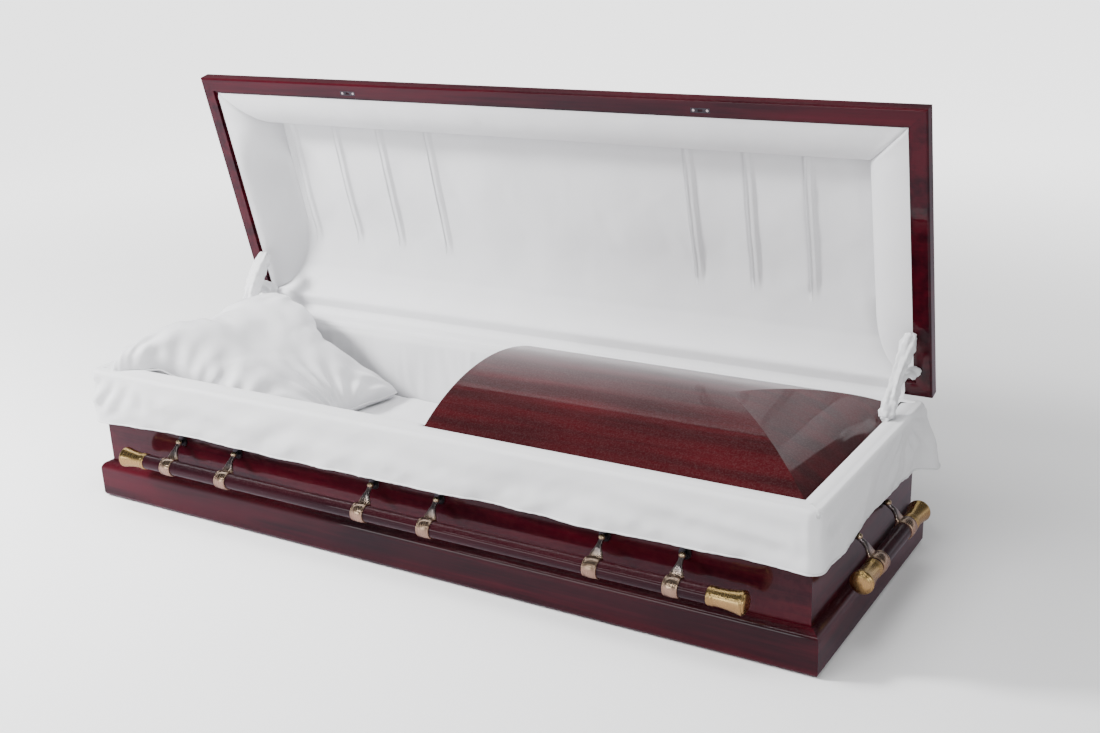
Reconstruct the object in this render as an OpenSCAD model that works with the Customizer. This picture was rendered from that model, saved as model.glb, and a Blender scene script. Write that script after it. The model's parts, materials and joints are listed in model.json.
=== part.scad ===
// Full-couch wooden casket: one hinged lid, a lift-off foot panel and four swing bars.
// Frame: origin on the floor under the middle of the casket, +X to the foot end,
// -Y to the front, +Z up. The lid is drawn closed and then turned open about its hinge line.

/* [Casket body] */
// Length over the base moulding
base_l = 2130; // [1900:5:2400]
// Width over the base moulding
base_w = 730; // [640:5:860]
// Height of the seam between body and lid
seam_h = 380; // [330:5:440]
// Thickness of the wall boards
wall_t = 22; // [16:1:28]
// Thickness of the bottom board
bottom_t = 15; // [10:1:22]

/* [Base moulding] */
// Height of the base moulding
mould_h = 103; // [80:1:120]
// How far the base moulding stands out from the walls
mould_p = 27; // [24:1:32]
// Radius of the moulding's upper edge
mould_top_r = 22; // [12:1:23]
// Radius of the moulding's lower edge
mould_foot_r = 12; // [6:1:14]

/* [Top rail] */
// Height of the rail on top of the walls
rail_h = 22; // [16:1:30]
// Width of the rail from outside to inside
rail_w = 58; // [54:1:70]
// How far the rail stands out from the walls
rail_p = 12; // [8:1:14]
// Radius of the rail's outer edge
rail_edge_r = 6; // [3:1:9]

/* [Lid] */
// How far the open lid is turned up from closed
lid_open = 77; // [60:1:85]
// How far the lid stands out past the base moulding
lid_over = 2.5; // [0:0.5:6]
// Width of the lid's rim frame
lid_rim_w = 38; // [34:1:44]
// Height of the lid's rim frame
lid_rim_h = 40; // [34:1:50]
// Height of the lid from the seam to its crown
lid_h = 204; // [185:1:230]
// Thickness of the lid's domed boards
lid_board_t = 14; // [10:1:16]
// How far the domed boards sit in from the rim's outer face
lid_inset = 8; // [6:1:12]
// Radius of the rim's lower outer edge
lid_edge_r = 5; // [3:1:8]

/* [Lid hinges and catches] */
// Radius of the hinge knuckles
knuckle_r = 6; // [5:0.5:6.5]
// Radius of the hinge pins
hinge_pin_r = 3; // [2.5:0.5:3.5]
// Length of one hinge
hinge_l = 90; // [70:5:120]
// Distance from the middle hinge to each end hinge
hinge_pitch = 700; // [500:10:800]
// Length of a catch plate
catch_l = 50; // [40:1:60]
// Distance of each catch plate from the middle of the lid
catch_x = 528; // [400:1:650]

/* [Foot panel] */
// Length of the foot panel
panel_l = 966; // [800:2:1000]
// Height of the foot panel's dome
panel_rise = 90; // [70:1:95]
// Thickness of the foot panel
panel_t = 12; // [9:1:15]

/* [Bedding] */
// Height of the top of the mattress above the floor
bed_h = 188; // [150:1:210]
// Thickness of the cloth lining inside the walls
lining_t = 12; // [8:1:16]
// Depth that the cloth skirt hangs below the seam
skirt_drop = 144; // [110:1:148]
// Thickness of the folded cloth skirt
skirt_t = 7; // [5:0.5:8]
// Height of the lid's padded roll above the seam at its inner edge
roll_h = 62; // [56:1:70]
// Width of the lid's padded roll
roll_w = 120; // [100:1:130]
// Height of the lid's ceiling lining above the seam
ceiling_h = 115; // [105:1:125]
// Highest point of the pillow above the floor
pillow_top = 468; // [440:1:472]
// Distance in front of the hinge line where the lid's stays stand on the end rails
stay_reach = 173; // [150:1:200]
// Length of the cloth sleeve on a stay
stay_l = 185; // [150:5:190]
// Radius of the cloth sleeve on a stay
sleeve_r = 15; // [10:1:16]

/* [Swing bars] */
// Height of the bars' axes above the floor
bar_h = 158; // [145:1:170]
// Distance of the bars' axes from the walls
bar_out = 60; // [54:1:66]
// Diameter of the wooden bars
bar_d = 40; // [34:1:42]
// Length of the front and back bars over their tips
side_bar_l = 1845; // [1700:5:1900]
// Length of the head and foot bars over their tips
end_bar_l = 426; // [422:4:520]
// Length of a brass tip
tip_l = 90; // [70:1:110]
// Height of the arms' pivots above the floor
pivot_h = 212; // [206:1:220]
// Distance of the arms' pivots from the walls
pivot_out = 15; // [13:1:18]
// Distance between the pairs of arms on a side bar
arm_pitch = 650; // [560:5:680]
// Distance between the two arms of a pair on a side bar
arm_gap = 198; // [150:2:230]
// Distance between the two arms of an end bar
end_arm_gap = 198; // [150:2:200]
// Width of an arm's ring
ring_w = 36; // [28:1:40]
// Wall thickness of an arm's ring
ring_t = 3; // [2.5:0.5:3.5]

/* [Hidden] */
$fn = 64;
fit = 0.3;                 // clearance between pieces that only rest on each other
eps = 1;                   // how far a cutter runs past what it cuts
soft_t = 7.4;              // thickness of the skirt where it lies on the rail
tuck = 46;                 // how far the lining and rail reach inside the wall faces
half_l = base_l / 2;
half_w = base_w / 2;
ring_k = half_l - half_w;  // every mitre line starts this far out on the X axis
wall_x = half_l - mould_p;
wall_y = half_w - mould_p;
rail_top = seam_h - soft_t - 2 * fit;
wall_top = rail_top - rail_h;
rail_in = rail_w - rail_p;
lid_x = half_l + lid_over;
lid_y = half_w + lid_over;
hinge_y = lid_y;
dome_span = lid_y - lid_inset;
dome_rise = lid_h - lid_rim_h;
dome_r = (dome_span * dome_span + dome_rise * dome_rise) / (2 * dome_rise);
rabbet_w = 7;
rabbet_h = 6;
roll_in = lid_rim_w + rabbet_w + fit;
roll_start = 8;
cove_w = 214;
ceiling_t = 12;
panel_in = 32;
panel_y = wall_y - panel_in;
panel_x = wall_x - panel_in;
panel_r = (panel_y * panel_y + panel_rise * panel_rise) / (2 * panel_rise);
panel_base = rail_top + fit;
lining_in = rail_in + fit;
bed_x = wall_x - lining_in - lining_t - fit;
bed_y = wall_y - lining_in - lining_t - fit;
catch_w = 12;
catch_t = 2.5;
leaf_t = 2.5;
stay_in = 24;              // how far the stays stand in from the outsides of the end walls
stay_lean = lid_open - 43;  // how far the stays lean back, in step with the open lid
tip_r = 27.5;
collar_r = 22;
eye_r = 7;
arm_pin_r = 2;
tongue_t = 4;
cheek_t = 4;
arm_t = 8;
arm_drop = pivot_h - bar_h;
arm_lean = atan2(bar_out - pivot_out, arm_drop);
arm_l = sqrt(pow(bar_out - pivot_out, 2) + pow(arm_drop, 2));
bore_r = bar_d / 2 + 0.15;
SIDES = ["front", "back", "head", "foot"];

// ---------- Colours ----------
module mahogany() { color([0.22, 0.06, 0.08]) children(); }
module cloth() { color([0.90, 0.90, 0.91]) children(); }
module brass() { color([0.72, 0.58, 0.32]) children(); }
module steel() { color([0.55, 0.55, 0.56]) children(); }

// ---------- Helpers for the rectangular rings ----------
// Plan wedge that holds one side of every ring, cut at 45 degrees at the corners.
module wedge(side) {
    reach = half_w + 120;
    far_x = ring_k + reach;
    if (side == "front") polygon([[-far_x, -reach], [far_x, -reach], [ring_k, 0], [-ring_k, 0]]);
    if (side == "back") polygon([[-ring_k, 0], [ring_k, 0], [far_x, reach], [-far_x, reach]]);
    if (side == "head") polygon([[-far_x, -reach], [-ring_k, 0], [-far_x, reach]]);
    if (side == "foot") polygon([[far_x, -reach], [far_x, reach], [ring_k, 0]]);
}

// Runs a section along one side of a ring. The section's X is the distance outward from
// the rectangle of half sizes hx and hy, and its Y is the height.
module ring_run(side, hx, hy) {
    intersection() {
        if (side == "front") mirror([0, 1, 0]) translate([0, hy, 0]) along_x(2 * hx + 300) children();
        else if (side == "back") translate([0, hy, 0]) along_x(2 * hx + 300) children();
        else if (side == "foot") translate([hx, 0, 0]) along_y(2 * hy + 300) children();
        else mirror([1, 0, 0]) translate([hx, 0, 0]) along_y(2 * hy + 300) children();
        translate([0, 0, -eps]) linear_extrude(seam_h + lid_h + 2 * eps) wedge(side);
    }
}

module along_x(length) { rotate([90, 0, 90]) linear_extrude(length, center = true) children(); }

module along_y(length) { rotate([90, 0, 0]) linear_extrude(length, center = true) children(); }

// Rectangle from the origin with its two outer corners rounded.
module rounded_section(width, height, top_r, foot_r) {
    intersection() {
        square([width, height]);
        union() {
            square([width - foot_r, height - top_r]);
            translate([0, foot_r]) square([width - top_r, height - foot_r]);
            translate([0, foot_r]) square([width, height - top_r - foot_r]);
            translate([width - top_r, height - top_r]) circle(top_r);
            translate([width - foot_r, foot_r]) circle(foot_r);
        }
    }
}

// Turns what is drawn in the closed lid up about the hinge line.
module opened() {
    translate([0, hinge_y, seam_h])
    rotate([-lid_open, 0, 0])
    translate([0, -hinge_y, -seam_h])
    children();
}

// Moves what is drawn against a wall in the plane y = 0, facing -Y, to one of the walls.
module on_wall(side) {
    if (side == "front") translate([0, -wall_y, 0]) children();
    else if (side == "back") translate([0, wall_y, 0]) rotate([0, 0, 180]) children();
    else if (side == "foot") translate([wall_x, 0, 0]) rotate([0, 0, 90]) children();
    else translate([-wall_x, 0, 0]) rotate([0, 0, -90]) children();
}

// ---------- Body ----------
module bottom_board() {
    inner_x = wall_x - wall_t;
    inner_y = wall_y - wall_t;
    mahogany() translate([-inner_x, -inner_y, 0]) cube([2 * inner_x, 2 * inner_y, bottom_t]);
}

module wall(side) {
    mahogany() ring_run(side, wall_x, wall_y)
        translate([-wall_t, 0]) square([wall_t, wall_top]);
}

module moulding(side) {
    mahogany() ring_run(side, wall_x, wall_y)
        rounded_section(mould_p, mould_h, mould_top_r, mould_foot_r);
}

module rail(side) {
    mahogany() ring_run(side, wall_x, wall_y)
        translate([-rail_in, wall_top]) rounded_section(rail_w, rail_h, rail_edge_r, rail_edge_r / 2);
}

module mattress() {
    low = bottom_t + fit;
    cloth() translate([-bed_x, -bed_y, low]) cube([2 * bed_x, 2 * bed_y, bed_h - low]);
}

module lining(side) {
    low = bottom_t + 45;
    cloth() ring_run(side, wall_x, wall_y)
        translate([-lining_in - lining_t, low]) square([lining_t, rail_top - low]);
}

// Pillow: its head edge hangs over the rail, and its foot edge lies low on the mattress.
module pillow() {
    over = wall_x - stay_in - sleeve_r - 1.5;   // where it ends above the head rail
    low = bed_h + fit;
    rest = rail_top + fit;
    ridge = lid_x - roll_w - roll_in - 12;   // just inside the closed lid's padded roll
    under = seam_h + roll_h - 6;
    long_profile = [
        [-bed_x + fit, low], [-bed_x + fit, rest], [-over, rest], [-over, seam_h + 9],
        [-ridge - 15, under - 12], [-ridge, pillow_top], [-ridge + 75, pillow_top - 6],
        [-ridge + 410, low + 16], [-ridge + 422, low + 6], [-ridge + 416, low]
    ];
    cross_profile = [
        [-bed_y + fit, low], [bed_y - fit, low], [bed_y - fit, pillow_top - 26],
        [bed_y - 60, pillow_top], [-bed_y + 92, pillow_top],
        [-bed_y + 74, under - 10], [-bed_y + fit, seam_h + 20]
    ];
    cloth() intersection() {
        along_y(2 * bed_y + 20) polygon(long_profile);
        along_x(2 * wall_x) polygon(cross_profile);
    }
}

module skirt(side) {
    out = rail_p + fit + skirt_t;
    edge_r = 6;
    cloth() ring_run(side, wall_x, wall_y) {
        translate([-panel_in + 1, rail_top + fit]) square([panel_in + rail_p + fit, soft_t]);
        translate([rail_p + fit, seam_h - fit - skirt_drop])
            rounded_section(skirt_t, skirt_drop, edge_r, 2);
    }
}

// Solid barrel vault with a hipped foot end, used for the outside and inside of the panel.
module panel_vault(radius) {
    centre = panel_base + panel_rise - panel_r;
    end = panel_x - panel_y;
    intersection() {
        translate([(panel_x + end) / 2, 0, 0]) along_x(2 * panel_l) intersection() {
            translate([0, centre]) circle(radius, $fn = 180);
            translate([-panel_y - eps, panel_base]) square([2 * panel_y + 2 * eps, panel_rise + eps]);
        }
        along_y(2 * panel_y + 20) {
            translate([end - panel_l, panel_base]) square([panel_l, panel_rise + eps]);
            intersection() {
                translate([end, centre]) circle(radius, $fn = 180);
                translate([end, panel_base]) square([panel_y + eps, panel_rise + eps]);
            }
        }
    }
}

module foot_panel() {
    mahogany() intersection() {
        difference() {
            panel_vault(panel_r);
            translate([0, 0, -0.001]) panel_vault(panel_r - panel_t);
        }
        translate([panel_x - panel_l, -panel_y - eps, panel_base])
            cube([panel_l + eps, 2 * panel_y + 2 * eps, panel_rise + eps]);
    }
}

// Gathered cloth sleeve over a lid stay, from the end rail up towards the open lid's rim.
module stay_sleeve(end) {
    foot_y = hinge_y - stay_reach;
    cloth() translate([end * (wall_x - stay_in), foot_y, seam_h]) difference() {
        rotate([-stay_lean, 0, 0]) translate([0, 0, -20]) cylinder(r = sleeve_r, h = stay_l + 20);
        translate([-40, -60, -60 + fit]) cube([80, 120, 60]);
    }
}

// ---------- Lid, drawn closed ----------
// Places of the three hinges along the lid.
function hinge_places() = [for (i = [-1:1]) i * hinge_pitch];

module lid_rim_section() {
    translate([-lid_rim_w, seam_h]) rounded_section(lid_rim_w, lid_rim_h, lid_inset, lid_edge_r);
    translate([-lid_rim_w - rabbet_w, seam_h + rabbet_h])
        square([rabbet_w + eps, lid_rim_h - rabbet_h]);
}

module lid_rim(side) {
    mahogany() opened() difference() {
        ring_run(side, lid_x, lid_y) lid_rim_section();
        if (side == "back") for (x = hinge_places()) translate([x, 0, 0]) hinge_pocket();
        if (side == "front") for (x = [-catch_x, catch_x]) translate([x, 0, 0]) catch_pocket();
    }
}

module hinge_pocket() {
    translate([0, hinge_y, seam_h]) rotate([0, 90, 0])
        cylinder(r = knuckle_r + 2 * fit, h = hinge_l + 2, center = true);
    translate([-hinge_l / 2 - fit, hinge_y - lid_rim_w + 6, seam_h - eps])
        cube([hinge_l + 2 * fit, lid_rim_w - 6, leaf_t + eps]);
}

module catch_pocket() {
    translate([-catch_l / 2 - fit / 2, -lid_y + lid_rim_w - catch_w - 6 - fit / 2, seam_h - eps])
        cube([catch_l + fit, catch_w + fit, catch_t + eps]);
}

module lid_board(side) {
    centre = seam_h + lid_h - dome_r;
    mahogany() opened() ring_run(side, lid_x, lid_y) intersection() {
        difference() {
            translate([-lid_y, centre]) circle(dome_r, $fn = 180);
            translate([-lid_y, centre]) circle(dome_r - lid_board_t, $fn = 180);
        }
        translate([-lid_y, seam_h + lid_rim_h]) square([lid_y, lid_h]);
    }
}

// Padded roll around the front and ends of the lid's lining.
module lid_roll(side) {
    inner = roll_in + roll_w;
    top = ceiling_h + ceiling_t;
    cloth() opened() ring_run(side, lid_x, lid_y) translate([0, seam_h]) polygon([
        [-roll_in, roll_start], [-inner + 15, roll_h - 12], [-inner, roll_h],
        [-inner, top], [-roll_in, lid_rim_h]
    ]);
}

// Height of the domed boards' inside above the seam, at a distance from the middle of the lid.
function dome_inside(y) = lid_h - dome_r + sqrt(pow(dome_r - lid_board_t, 2) - y * y);

// Band that curves from the lid's ceiling down to the hinge side, always under the boards.
module lid_hinge_cove() {
    steps = 12;
    low = [for (i = [0:steps]) let (a = 90 * i / steps, inset = roll_in + cove_w * (1 - cos(a)))
        [-inset, min(roll_start + (ceiling_h - roll_start) * sin(a),
                     dome_inside(lid_y - inset) - ceiling_t - fit)]];
    high = [for (i = [steps:-1:0]) [low[i][0], low[i][1] + ceiling_t]];
    corner = roll_in + roll_w + fit;
    cloth() opened() intersection() {
        translate([0, lid_y, 0]) along_x(2 * lid_x) translate([0, seam_h]) polygon(concat(low, high));
        linear_extrude(seam_h + lid_h) polygon([
            [-lid_x + corner, 0], [lid_x - corner, 0], [lid_x - corner, lid_y - corner],
            [lid_x, lid_y], [-lid_x, lid_y], [-lid_x + corner, lid_y - corner]
        ]);
    }
}

module lid_ceiling() {
    x_in = lid_x - roll_in - roll_w - fit;
    y_front = -lid_y + roll_in + roll_w + fit;
    y_back = lid_y - roll_in - cove_w - fit;
    cloth() opened() translate([-x_in, y_front, seam_h + ceiling_h])
        cube([2 * x_in, y_back - y_front, ceiling_t]);
}

// ---------- Hinges and catches ----------
// Three knuckles share each hinge: the middle one belongs to the body.
module knuckle(from, to) {
    rotate([0, 90, 0]) translate([0, 0, from]) cylinder(r = knuckle_r, h = to - from);
}

module hinge_base_leaves() {
    mid = hinge_l / 6;
    rail_back = wall_y + rail_p;
    flange_z = seam_h - knuckle_r;
    steel() for (x = hinge_places()) translate([x, 0, 0]) difference() {
        union() {
            translate([-mid, rail_back, wall_top]) cube([2 * mid, leaf_t, flange_z + leaf_t - wall_top]);
            translate([-mid, rail_back, flange_z]) cube([2 * mid, hinge_y - rail_back, leaf_t]);
            translate([0, hinge_y, seam_h]) knuckle(-mid, mid);
        }
        translate([0, hinge_y, seam_h]) rotate([0, 90, 0])
            cylinder(r = hinge_pin_r + 0.1, h = hinge_l, center = true);
    }
}

module hinge_lid_leaves() {
    mid = hinge_l / 6 + fit;
    steel() opened() for (x = hinge_places()) translate([x, hinge_y, seam_h]) {
        knuckle(-hinge_l / 2, -mid);
        knuckle(mid, hinge_l / 2);
        rotate([0, 90, 0]) cylinder(r = hinge_pin_r, h = hinge_l, center = true);
        for (s = [-1, 1]) translate([s > 0 ? mid : -hinge_l / 2, -lid_rim_w + 6 + fit, 0])
            cube([hinge_l / 2 - mid, lid_rim_w - 6 - fit, leaf_t - 0.1]);
        translate([-hinge_l / 2, -lid_rim_w + 6 + fit, 0])
            cube([hinge_l, lid_rim_w - 6 - fit - knuckle_r - 1, leaf_t - 0.1]);
    }
}

// Places of the two screws in a catch plate.
function screw_places() = [for (s = [-1, 1]) s * catch_l * 0.36];

module catch_plates() {
    steel() opened() for (x = [-catch_x, catch_x])
        translate([x, -lid_y + lid_rim_w - 6 - catch_w / 2, seam_h]) difference() {
            translate([-catch_l / 2, -catch_w / 2, 0]) cube([catch_l, catch_w, catch_t - 0.1]);
            for (s = screw_places()) translate([s, 0, -eps]) cylinder(r = 3.4, h = catch_t - 0.1 + 2 * eps);
            translate([-6, -3, -eps]) cube([12, 6, catch_t + 2 * eps]);
        }
}

module catch_screws() {
    brass() opened() for (x = [-catch_x, catch_x]) for (s = screw_places())
        translate([x + s, -lid_y + lid_rim_w - 6 - catch_w / 2, seam_h + 0.2])
            cylinder(r = 3.2, h = catch_t - 0.3);
}

// ---------- Swing bars, drawn against the plane y = 0 and facing -Y ----------
function side_arms() = [for (p = [-1:1]) for (s = [-0.5, 0.5]) p * arm_pitch + s * arm_gap];
function end_arms() = [-end_arm_gap / 2, end_arm_gap / 2];
function arm_places(side) = (side == "front" || side == "back") ? side_arms() : end_arms();
function bar_length(side) = (side == "front" || side == "back") ? side_bar_l : end_bar_l;

module lugs(side) {
    brass() on_wall(side) for (x = arm_places(side)) translate([x, 0, pivot_h]) difference() {
        union() {
            rotate([90, 0, 0]) cylinder(r = 15, h = 3.5);
            translate([-tongue_t / 2, -pivot_out, -5]) cube([tongue_t, pivot_out, 10]);
            translate([0, -pivot_out, 0]) rotate([0, 90, 0])
                cylinder(r = 5, h = tongue_t, center = true);
        }
        translate([0, -pivot_out, 0]) rotate([0, 90, 0])
            cylinder(r = arm_pin_r + 0.15, h = 2 * tongue_t, center = true);
    }
}

module bar(side) {
    wood_l = bar_length(side) - 2 * tip_l;
    mahogany() on_wall(side) translate([0, -bar_out, bar_h]) rotate([0, 90, 0])
        cylinder(r = bar_d / 2, h = wood_l, center = true);
}

// Brass tip: grooved collar, waist, flare and domed face, turned about the bar's axis.
function tip_outline() = let (waist = 20.8, flare = tip_l * 0.86) concat(
    [[0, 0], [collar_r - 1, 0], [collar_r, 1], [collar_r, 6], [collar_r - 1.2, 7],
        [collar_r, 8], [collar_r, 14], [waist + 0.4, 16]],
    [for (i = [0:8]) let (t = i / 8)
        [waist + (tip_r - waist) * pow(t, 1.8), 20 + (flare - 20) * t]],
    [[tip_r - 0.6, flare + 4], [tip_r - 3, flare + 7]],
    [for (i = [1:4]) let (t = i / 4) [(tip_r - 3) * (1 - t), flare + 7 + (tip_l - flare - 7) * sin(90 * t)]]
);

module bar_tips(side) {
    wood_l = bar_length(side) - 2 * tip_l;
    brass() on_wall(side) translate([0, -bar_out, bar_h]) for (turn = [0, 180])
        rotate([0, 0, turn]) translate([wood_l / 2, 0, 0]) rotate([0, 90, 0])
        rotate_extrude() polygon(tip_outline());
}

// One arm hangs from its pivot at the origin straight down to its ring.
module arm() {
    half = tongue_t / 2 + 0.3 + cheek_t;
    cheek_l = 13;
    difference() {
        union() {
            for (s = [-1, 1]) translate([s * (half - cheek_t / 2), 0, 0]) {
                rotate([0, 90, 0]) cylinder(r = eye_r, h = cheek_t, center = true);
                translate([-cheek_t / 2, -arm_t / 2, -cheek_l]) cube([cheek_t, arm_t, cheek_l]);
            }
            rotate([90, 0, 0]) linear_extrude(arm_t, center = true) polygon([
                [-half, -9], [half, -9], [half + 0.5, -24], [ring_w / 2 - 3, -arm_l + 26],
                [ring_w / 2, -arm_l + 18], [ring_w / 2, -arm_l],
                [-ring_w / 2, -arm_l], [-ring_w / 2, -arm_l + 18],
                [-ring_w / 2 + 3, -arm_l + 26], [-half - 0.5, -24]
            ]);
            translate([0, 0, -arm_l]) rotate([0, 90, 0])
                cylinder(r = bore_r + ring_t, h = ring_w, center = true);
        }
        translate([0, 0, -arm_l]) rotate([0, 90, 0])
            cylinder(r = bore_r, h = ring_w + 2 * eps, center = true);
    }
    rotate([0, 90, 0]) cylinder(r = arm_pin_r, h = 2 * half + 2, center = true);
}

module arms(side) {
    brass() on_wall(side) for (x = arm_places(side))
        translate([x, -pivot_out, pivot_h]) rotate([-arm_lean, 0, 0]) arm();
}

bottom_board();
mattress();
pillow();
foot_panel();
hinge_base_leaves();
hinge_lid_leaves();
stay_sleeve(-1);  // head_stay_sleeve
stay_sleeve(1);  // foot_stay_sleeve
lid_hinge_cove();
lid_ceiling();
catch_plates();
catch_screws();
for (side = SIDES) {
    wall(side);
    moulding(side);
    rail(side);
    lining(side);
    lugs(side);
    bar(side);
    bar_tips(side);
    arms(side);
    lid_rim(side);
    lid_board(side);
}
for (side = ["front", "head", "foot"]) {
    skirt(side);
    lid_roll(side);
}
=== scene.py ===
"""Looks of a full-couch funeral casket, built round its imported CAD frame.

Frame: +X to the foot end, -Y to the front, +Z up, metres. The lid pieces are drawn
with the lid shut and then turned open about its hinge, as the CAD does.
"""

import enum
import json
import logging
import math
from dataclasses import dataclass, field
from typing import Optional, Sequence

import bpy
import numpy as np
from mathutils import Matrix, Vector


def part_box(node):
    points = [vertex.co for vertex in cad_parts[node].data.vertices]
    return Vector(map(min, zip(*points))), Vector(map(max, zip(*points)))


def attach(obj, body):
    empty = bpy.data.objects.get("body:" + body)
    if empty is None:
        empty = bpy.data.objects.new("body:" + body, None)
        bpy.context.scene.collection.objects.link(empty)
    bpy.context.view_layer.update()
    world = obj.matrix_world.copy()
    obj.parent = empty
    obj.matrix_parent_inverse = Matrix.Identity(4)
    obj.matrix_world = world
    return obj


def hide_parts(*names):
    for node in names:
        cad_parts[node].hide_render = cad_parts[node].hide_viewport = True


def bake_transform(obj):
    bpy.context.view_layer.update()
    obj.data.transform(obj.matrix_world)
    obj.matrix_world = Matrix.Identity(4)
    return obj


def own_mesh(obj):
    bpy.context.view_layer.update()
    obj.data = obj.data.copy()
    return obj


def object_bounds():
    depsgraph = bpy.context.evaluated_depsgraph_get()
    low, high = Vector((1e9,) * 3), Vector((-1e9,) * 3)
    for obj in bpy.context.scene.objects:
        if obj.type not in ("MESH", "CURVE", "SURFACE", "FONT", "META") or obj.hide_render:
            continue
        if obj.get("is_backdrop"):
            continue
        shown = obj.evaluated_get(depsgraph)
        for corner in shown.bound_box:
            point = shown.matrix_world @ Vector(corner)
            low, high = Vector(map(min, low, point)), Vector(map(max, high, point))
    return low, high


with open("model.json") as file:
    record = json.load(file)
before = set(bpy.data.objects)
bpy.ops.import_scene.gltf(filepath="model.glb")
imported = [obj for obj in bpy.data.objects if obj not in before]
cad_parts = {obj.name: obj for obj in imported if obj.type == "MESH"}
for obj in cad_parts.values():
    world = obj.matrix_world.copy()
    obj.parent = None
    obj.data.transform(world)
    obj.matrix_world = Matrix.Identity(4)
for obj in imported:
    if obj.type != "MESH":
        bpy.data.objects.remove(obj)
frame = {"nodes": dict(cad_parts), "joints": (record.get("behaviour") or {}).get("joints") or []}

Points = np.ndarray
Obj = bpy.types.Object
Material = bpy.types.Material
Socket = bpy.types.NodeSocket
Rgb = tuple[float, float, float]
LOG = logging.getLogger("casket")
COLOR, FLOAT, VECTOR = "NodeSocketColor", "NodeSocketFloat", "NodeSocketVector"


class Side(enum.Enum):
    """The four sides of the casket."""

    FRONT = "front"
    BACK = "back"
    HEAD = "head"
    FOOT = "foot"


class Body(enum.Enum):
    """CAD bodies that pieces ride on."""

    CASKET = "casket"
    LID = "lid"


class Slot(enum.Enum):
    """Material slots of the record."""

    DARK = "dark_lacquer"
    RED = "red_lacquer"
    BOARD = "plain_board"
    SATIN = "white_satin"
    PILLOW = "pillow_satin"
    SKIRT = "skirt_cloth"
    LID_CLOTH = "lid_cloth"
    BRIGHT = "bright_brass"
    ANTIQUE = "antique_brass"


# ------------------------------------------------------------------ layout


@dataclass(frozen=True)
class Layout:
    """Sizes that the pieces share, all read from the CAD frame."""

    rail_x: float = field(default_factory=lambda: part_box("foot_rail")[1].x)
    rail_y: float = field(default_factory=lambda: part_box("back_rail")[1].y)
    rail_top: float = field(default_factory=lambda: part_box("front_rail")[1].z)
    bed_x: float = field(default_factory=lambda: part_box("mattress")[1].x)
    bed_y: float = field(default_factory=lambda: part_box("mattress")[1].y)
    bed_top: float = field(default_factory=lambda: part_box("mattress")[1].z)
    hem_z: float = field(default_factory=lambda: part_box("front_skirt")[0].z)
    lid_x: float = field(default_factory=lambda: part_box("lid_foot_rim")[1].x)
    panel_lo: float = field(default_factory=lambda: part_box("foot_panel")[0].x)
    panel_y: float = field(default_factory=lambda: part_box("foot_panel")[1].y)

    def joint(self, name: str) -> dict:
        """One joint of the record."""
        return next(j for j in frame["joints"] if j["name"] == name)

    @property
    def hinge(self) -> tuple[float, float]:
        """Y and Z of the lid's hinge line, in metres."""
        pos = self.joint("lid_hinge")["pos_m"]
        return pos[1], pos[2]

    @property
    def open_angle(self) -> float:
        """How far the lid stands open, in radians."""
        return math.radians(self.joint("lid_hinge")["range_deg"][1])

    def opened(self, pts: Points) -> Points:
        """Turns points of the shut lid to where the open lid has them.

        Args:
            pts: array whose last axis is x, y, z.

        Returns:
            The turned points.
        """
        hy, hz = self.hinge
        c, s = math.cos(self.open_angle), math.sin(self.open_angle)
        y, z = pts[..., 1] - hy, pts[..., 2] - hz
        return stacked(pts[..., 0], hy + y * c + z * s, hz - y * s + z * c)


# ------------------------------------------------------------------ mesh helpers


class Ripple:
    """Smooth undulation made of seeded sine waves, about -1 to 1."""

    def __init__(
        self, seed: int, longest: float, shortest: float, waves: int = 14, lean: float = 0.0
    ) -> None:
        """Draws the waves.

        Args:
            seed: seed of the random numbers.
            longest: longest wavelength in metres.
            shortest: shortest wavelength in metres.
            waves: number of waves.
            lean: 0 for waves in every direction, 1 for waves that only cross u.
        """
        rng = np.random.RandomState(seed)
        lengths = np.exp(rng.uniform(np.log(shortest), np.log(longest), waves))
        angles = rng.uniform(-math.pi / 2, math.pi / 2, waves) * (1 - lean)
        self.ku = 2 * math.pi * np.cos(angles) / lengths
        self.kv = 2 * math.pi * np.sin(angles) / lengths
        self.phase = rng.uniform(0, 2 * math.pi, waves)
        self.size = (lengths / longest) ** 0.6
        self.size /= np.sqrt((self.size**2).sum() / 2) * 1.6

    def __call__(self, u: Points, v: Points) -> Points:
        """Value of the undulation.

        Args:
            u: first coordinate in metres.
            v: second coordinate in metres.

        Returns:
            Array of the inputs' shape.
        """
        u, v = np.broadcast_arrays(u, v)
        out = np.zeros(u.shape)
        for ku, kv, phase, size in zip(self.ku, self.kv, self.phase, self.size):
            out += size * np.sin(ku * u + kv * v + phase)
        return out


def smooth(x: Points, low: float, high: float) -> Points:
    """Smooth step from 0 at low to 1 at high."""
    t = np.clip((x - low) / (high - low), 0, 1)
    return t * t * (3 - 2 * t)


def bump(x: Points, centre: float, width: float) -> Points:
    """Bell curve of height 1."""
    return np.exp(-(((x - centre) / width) ** 2))


def unit(v: Points) -> Points:
    """Scales vectors to length 1."""
    return v / np.maximum(np.linalg.norm(v, axis=-1, keepdims=True), 1e-12)


def mesh_object(name: str, verts: Points, faces: Sequence[Sequence[int]], material: Material) -> Obj:
    """Makes a smooth-shaded mesh object.

    Args:
        name: object name.
        verts: array of points.
        faces: vertex numbers of each face.
        material: its material.

    Returns:
        The linked object.
    """
    mesh = bpy.data.meshes.new(name)
    mesh.from_pydata(
        np.asarray(verts, float).reshape(-1, 3).tolist(), [], [list(map(int, fc)) for fc in faces]
    )
    mesh.validate()
    mesh.polygons.foreach_set("use_smooth", [True] * len(mesh.polygons))
    mesh.materials.append(material)
    obj = bpy.data.objects.new(name, mesh)
    bpy.context.scene.collection.objects.link(obj)
    return obj


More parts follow.
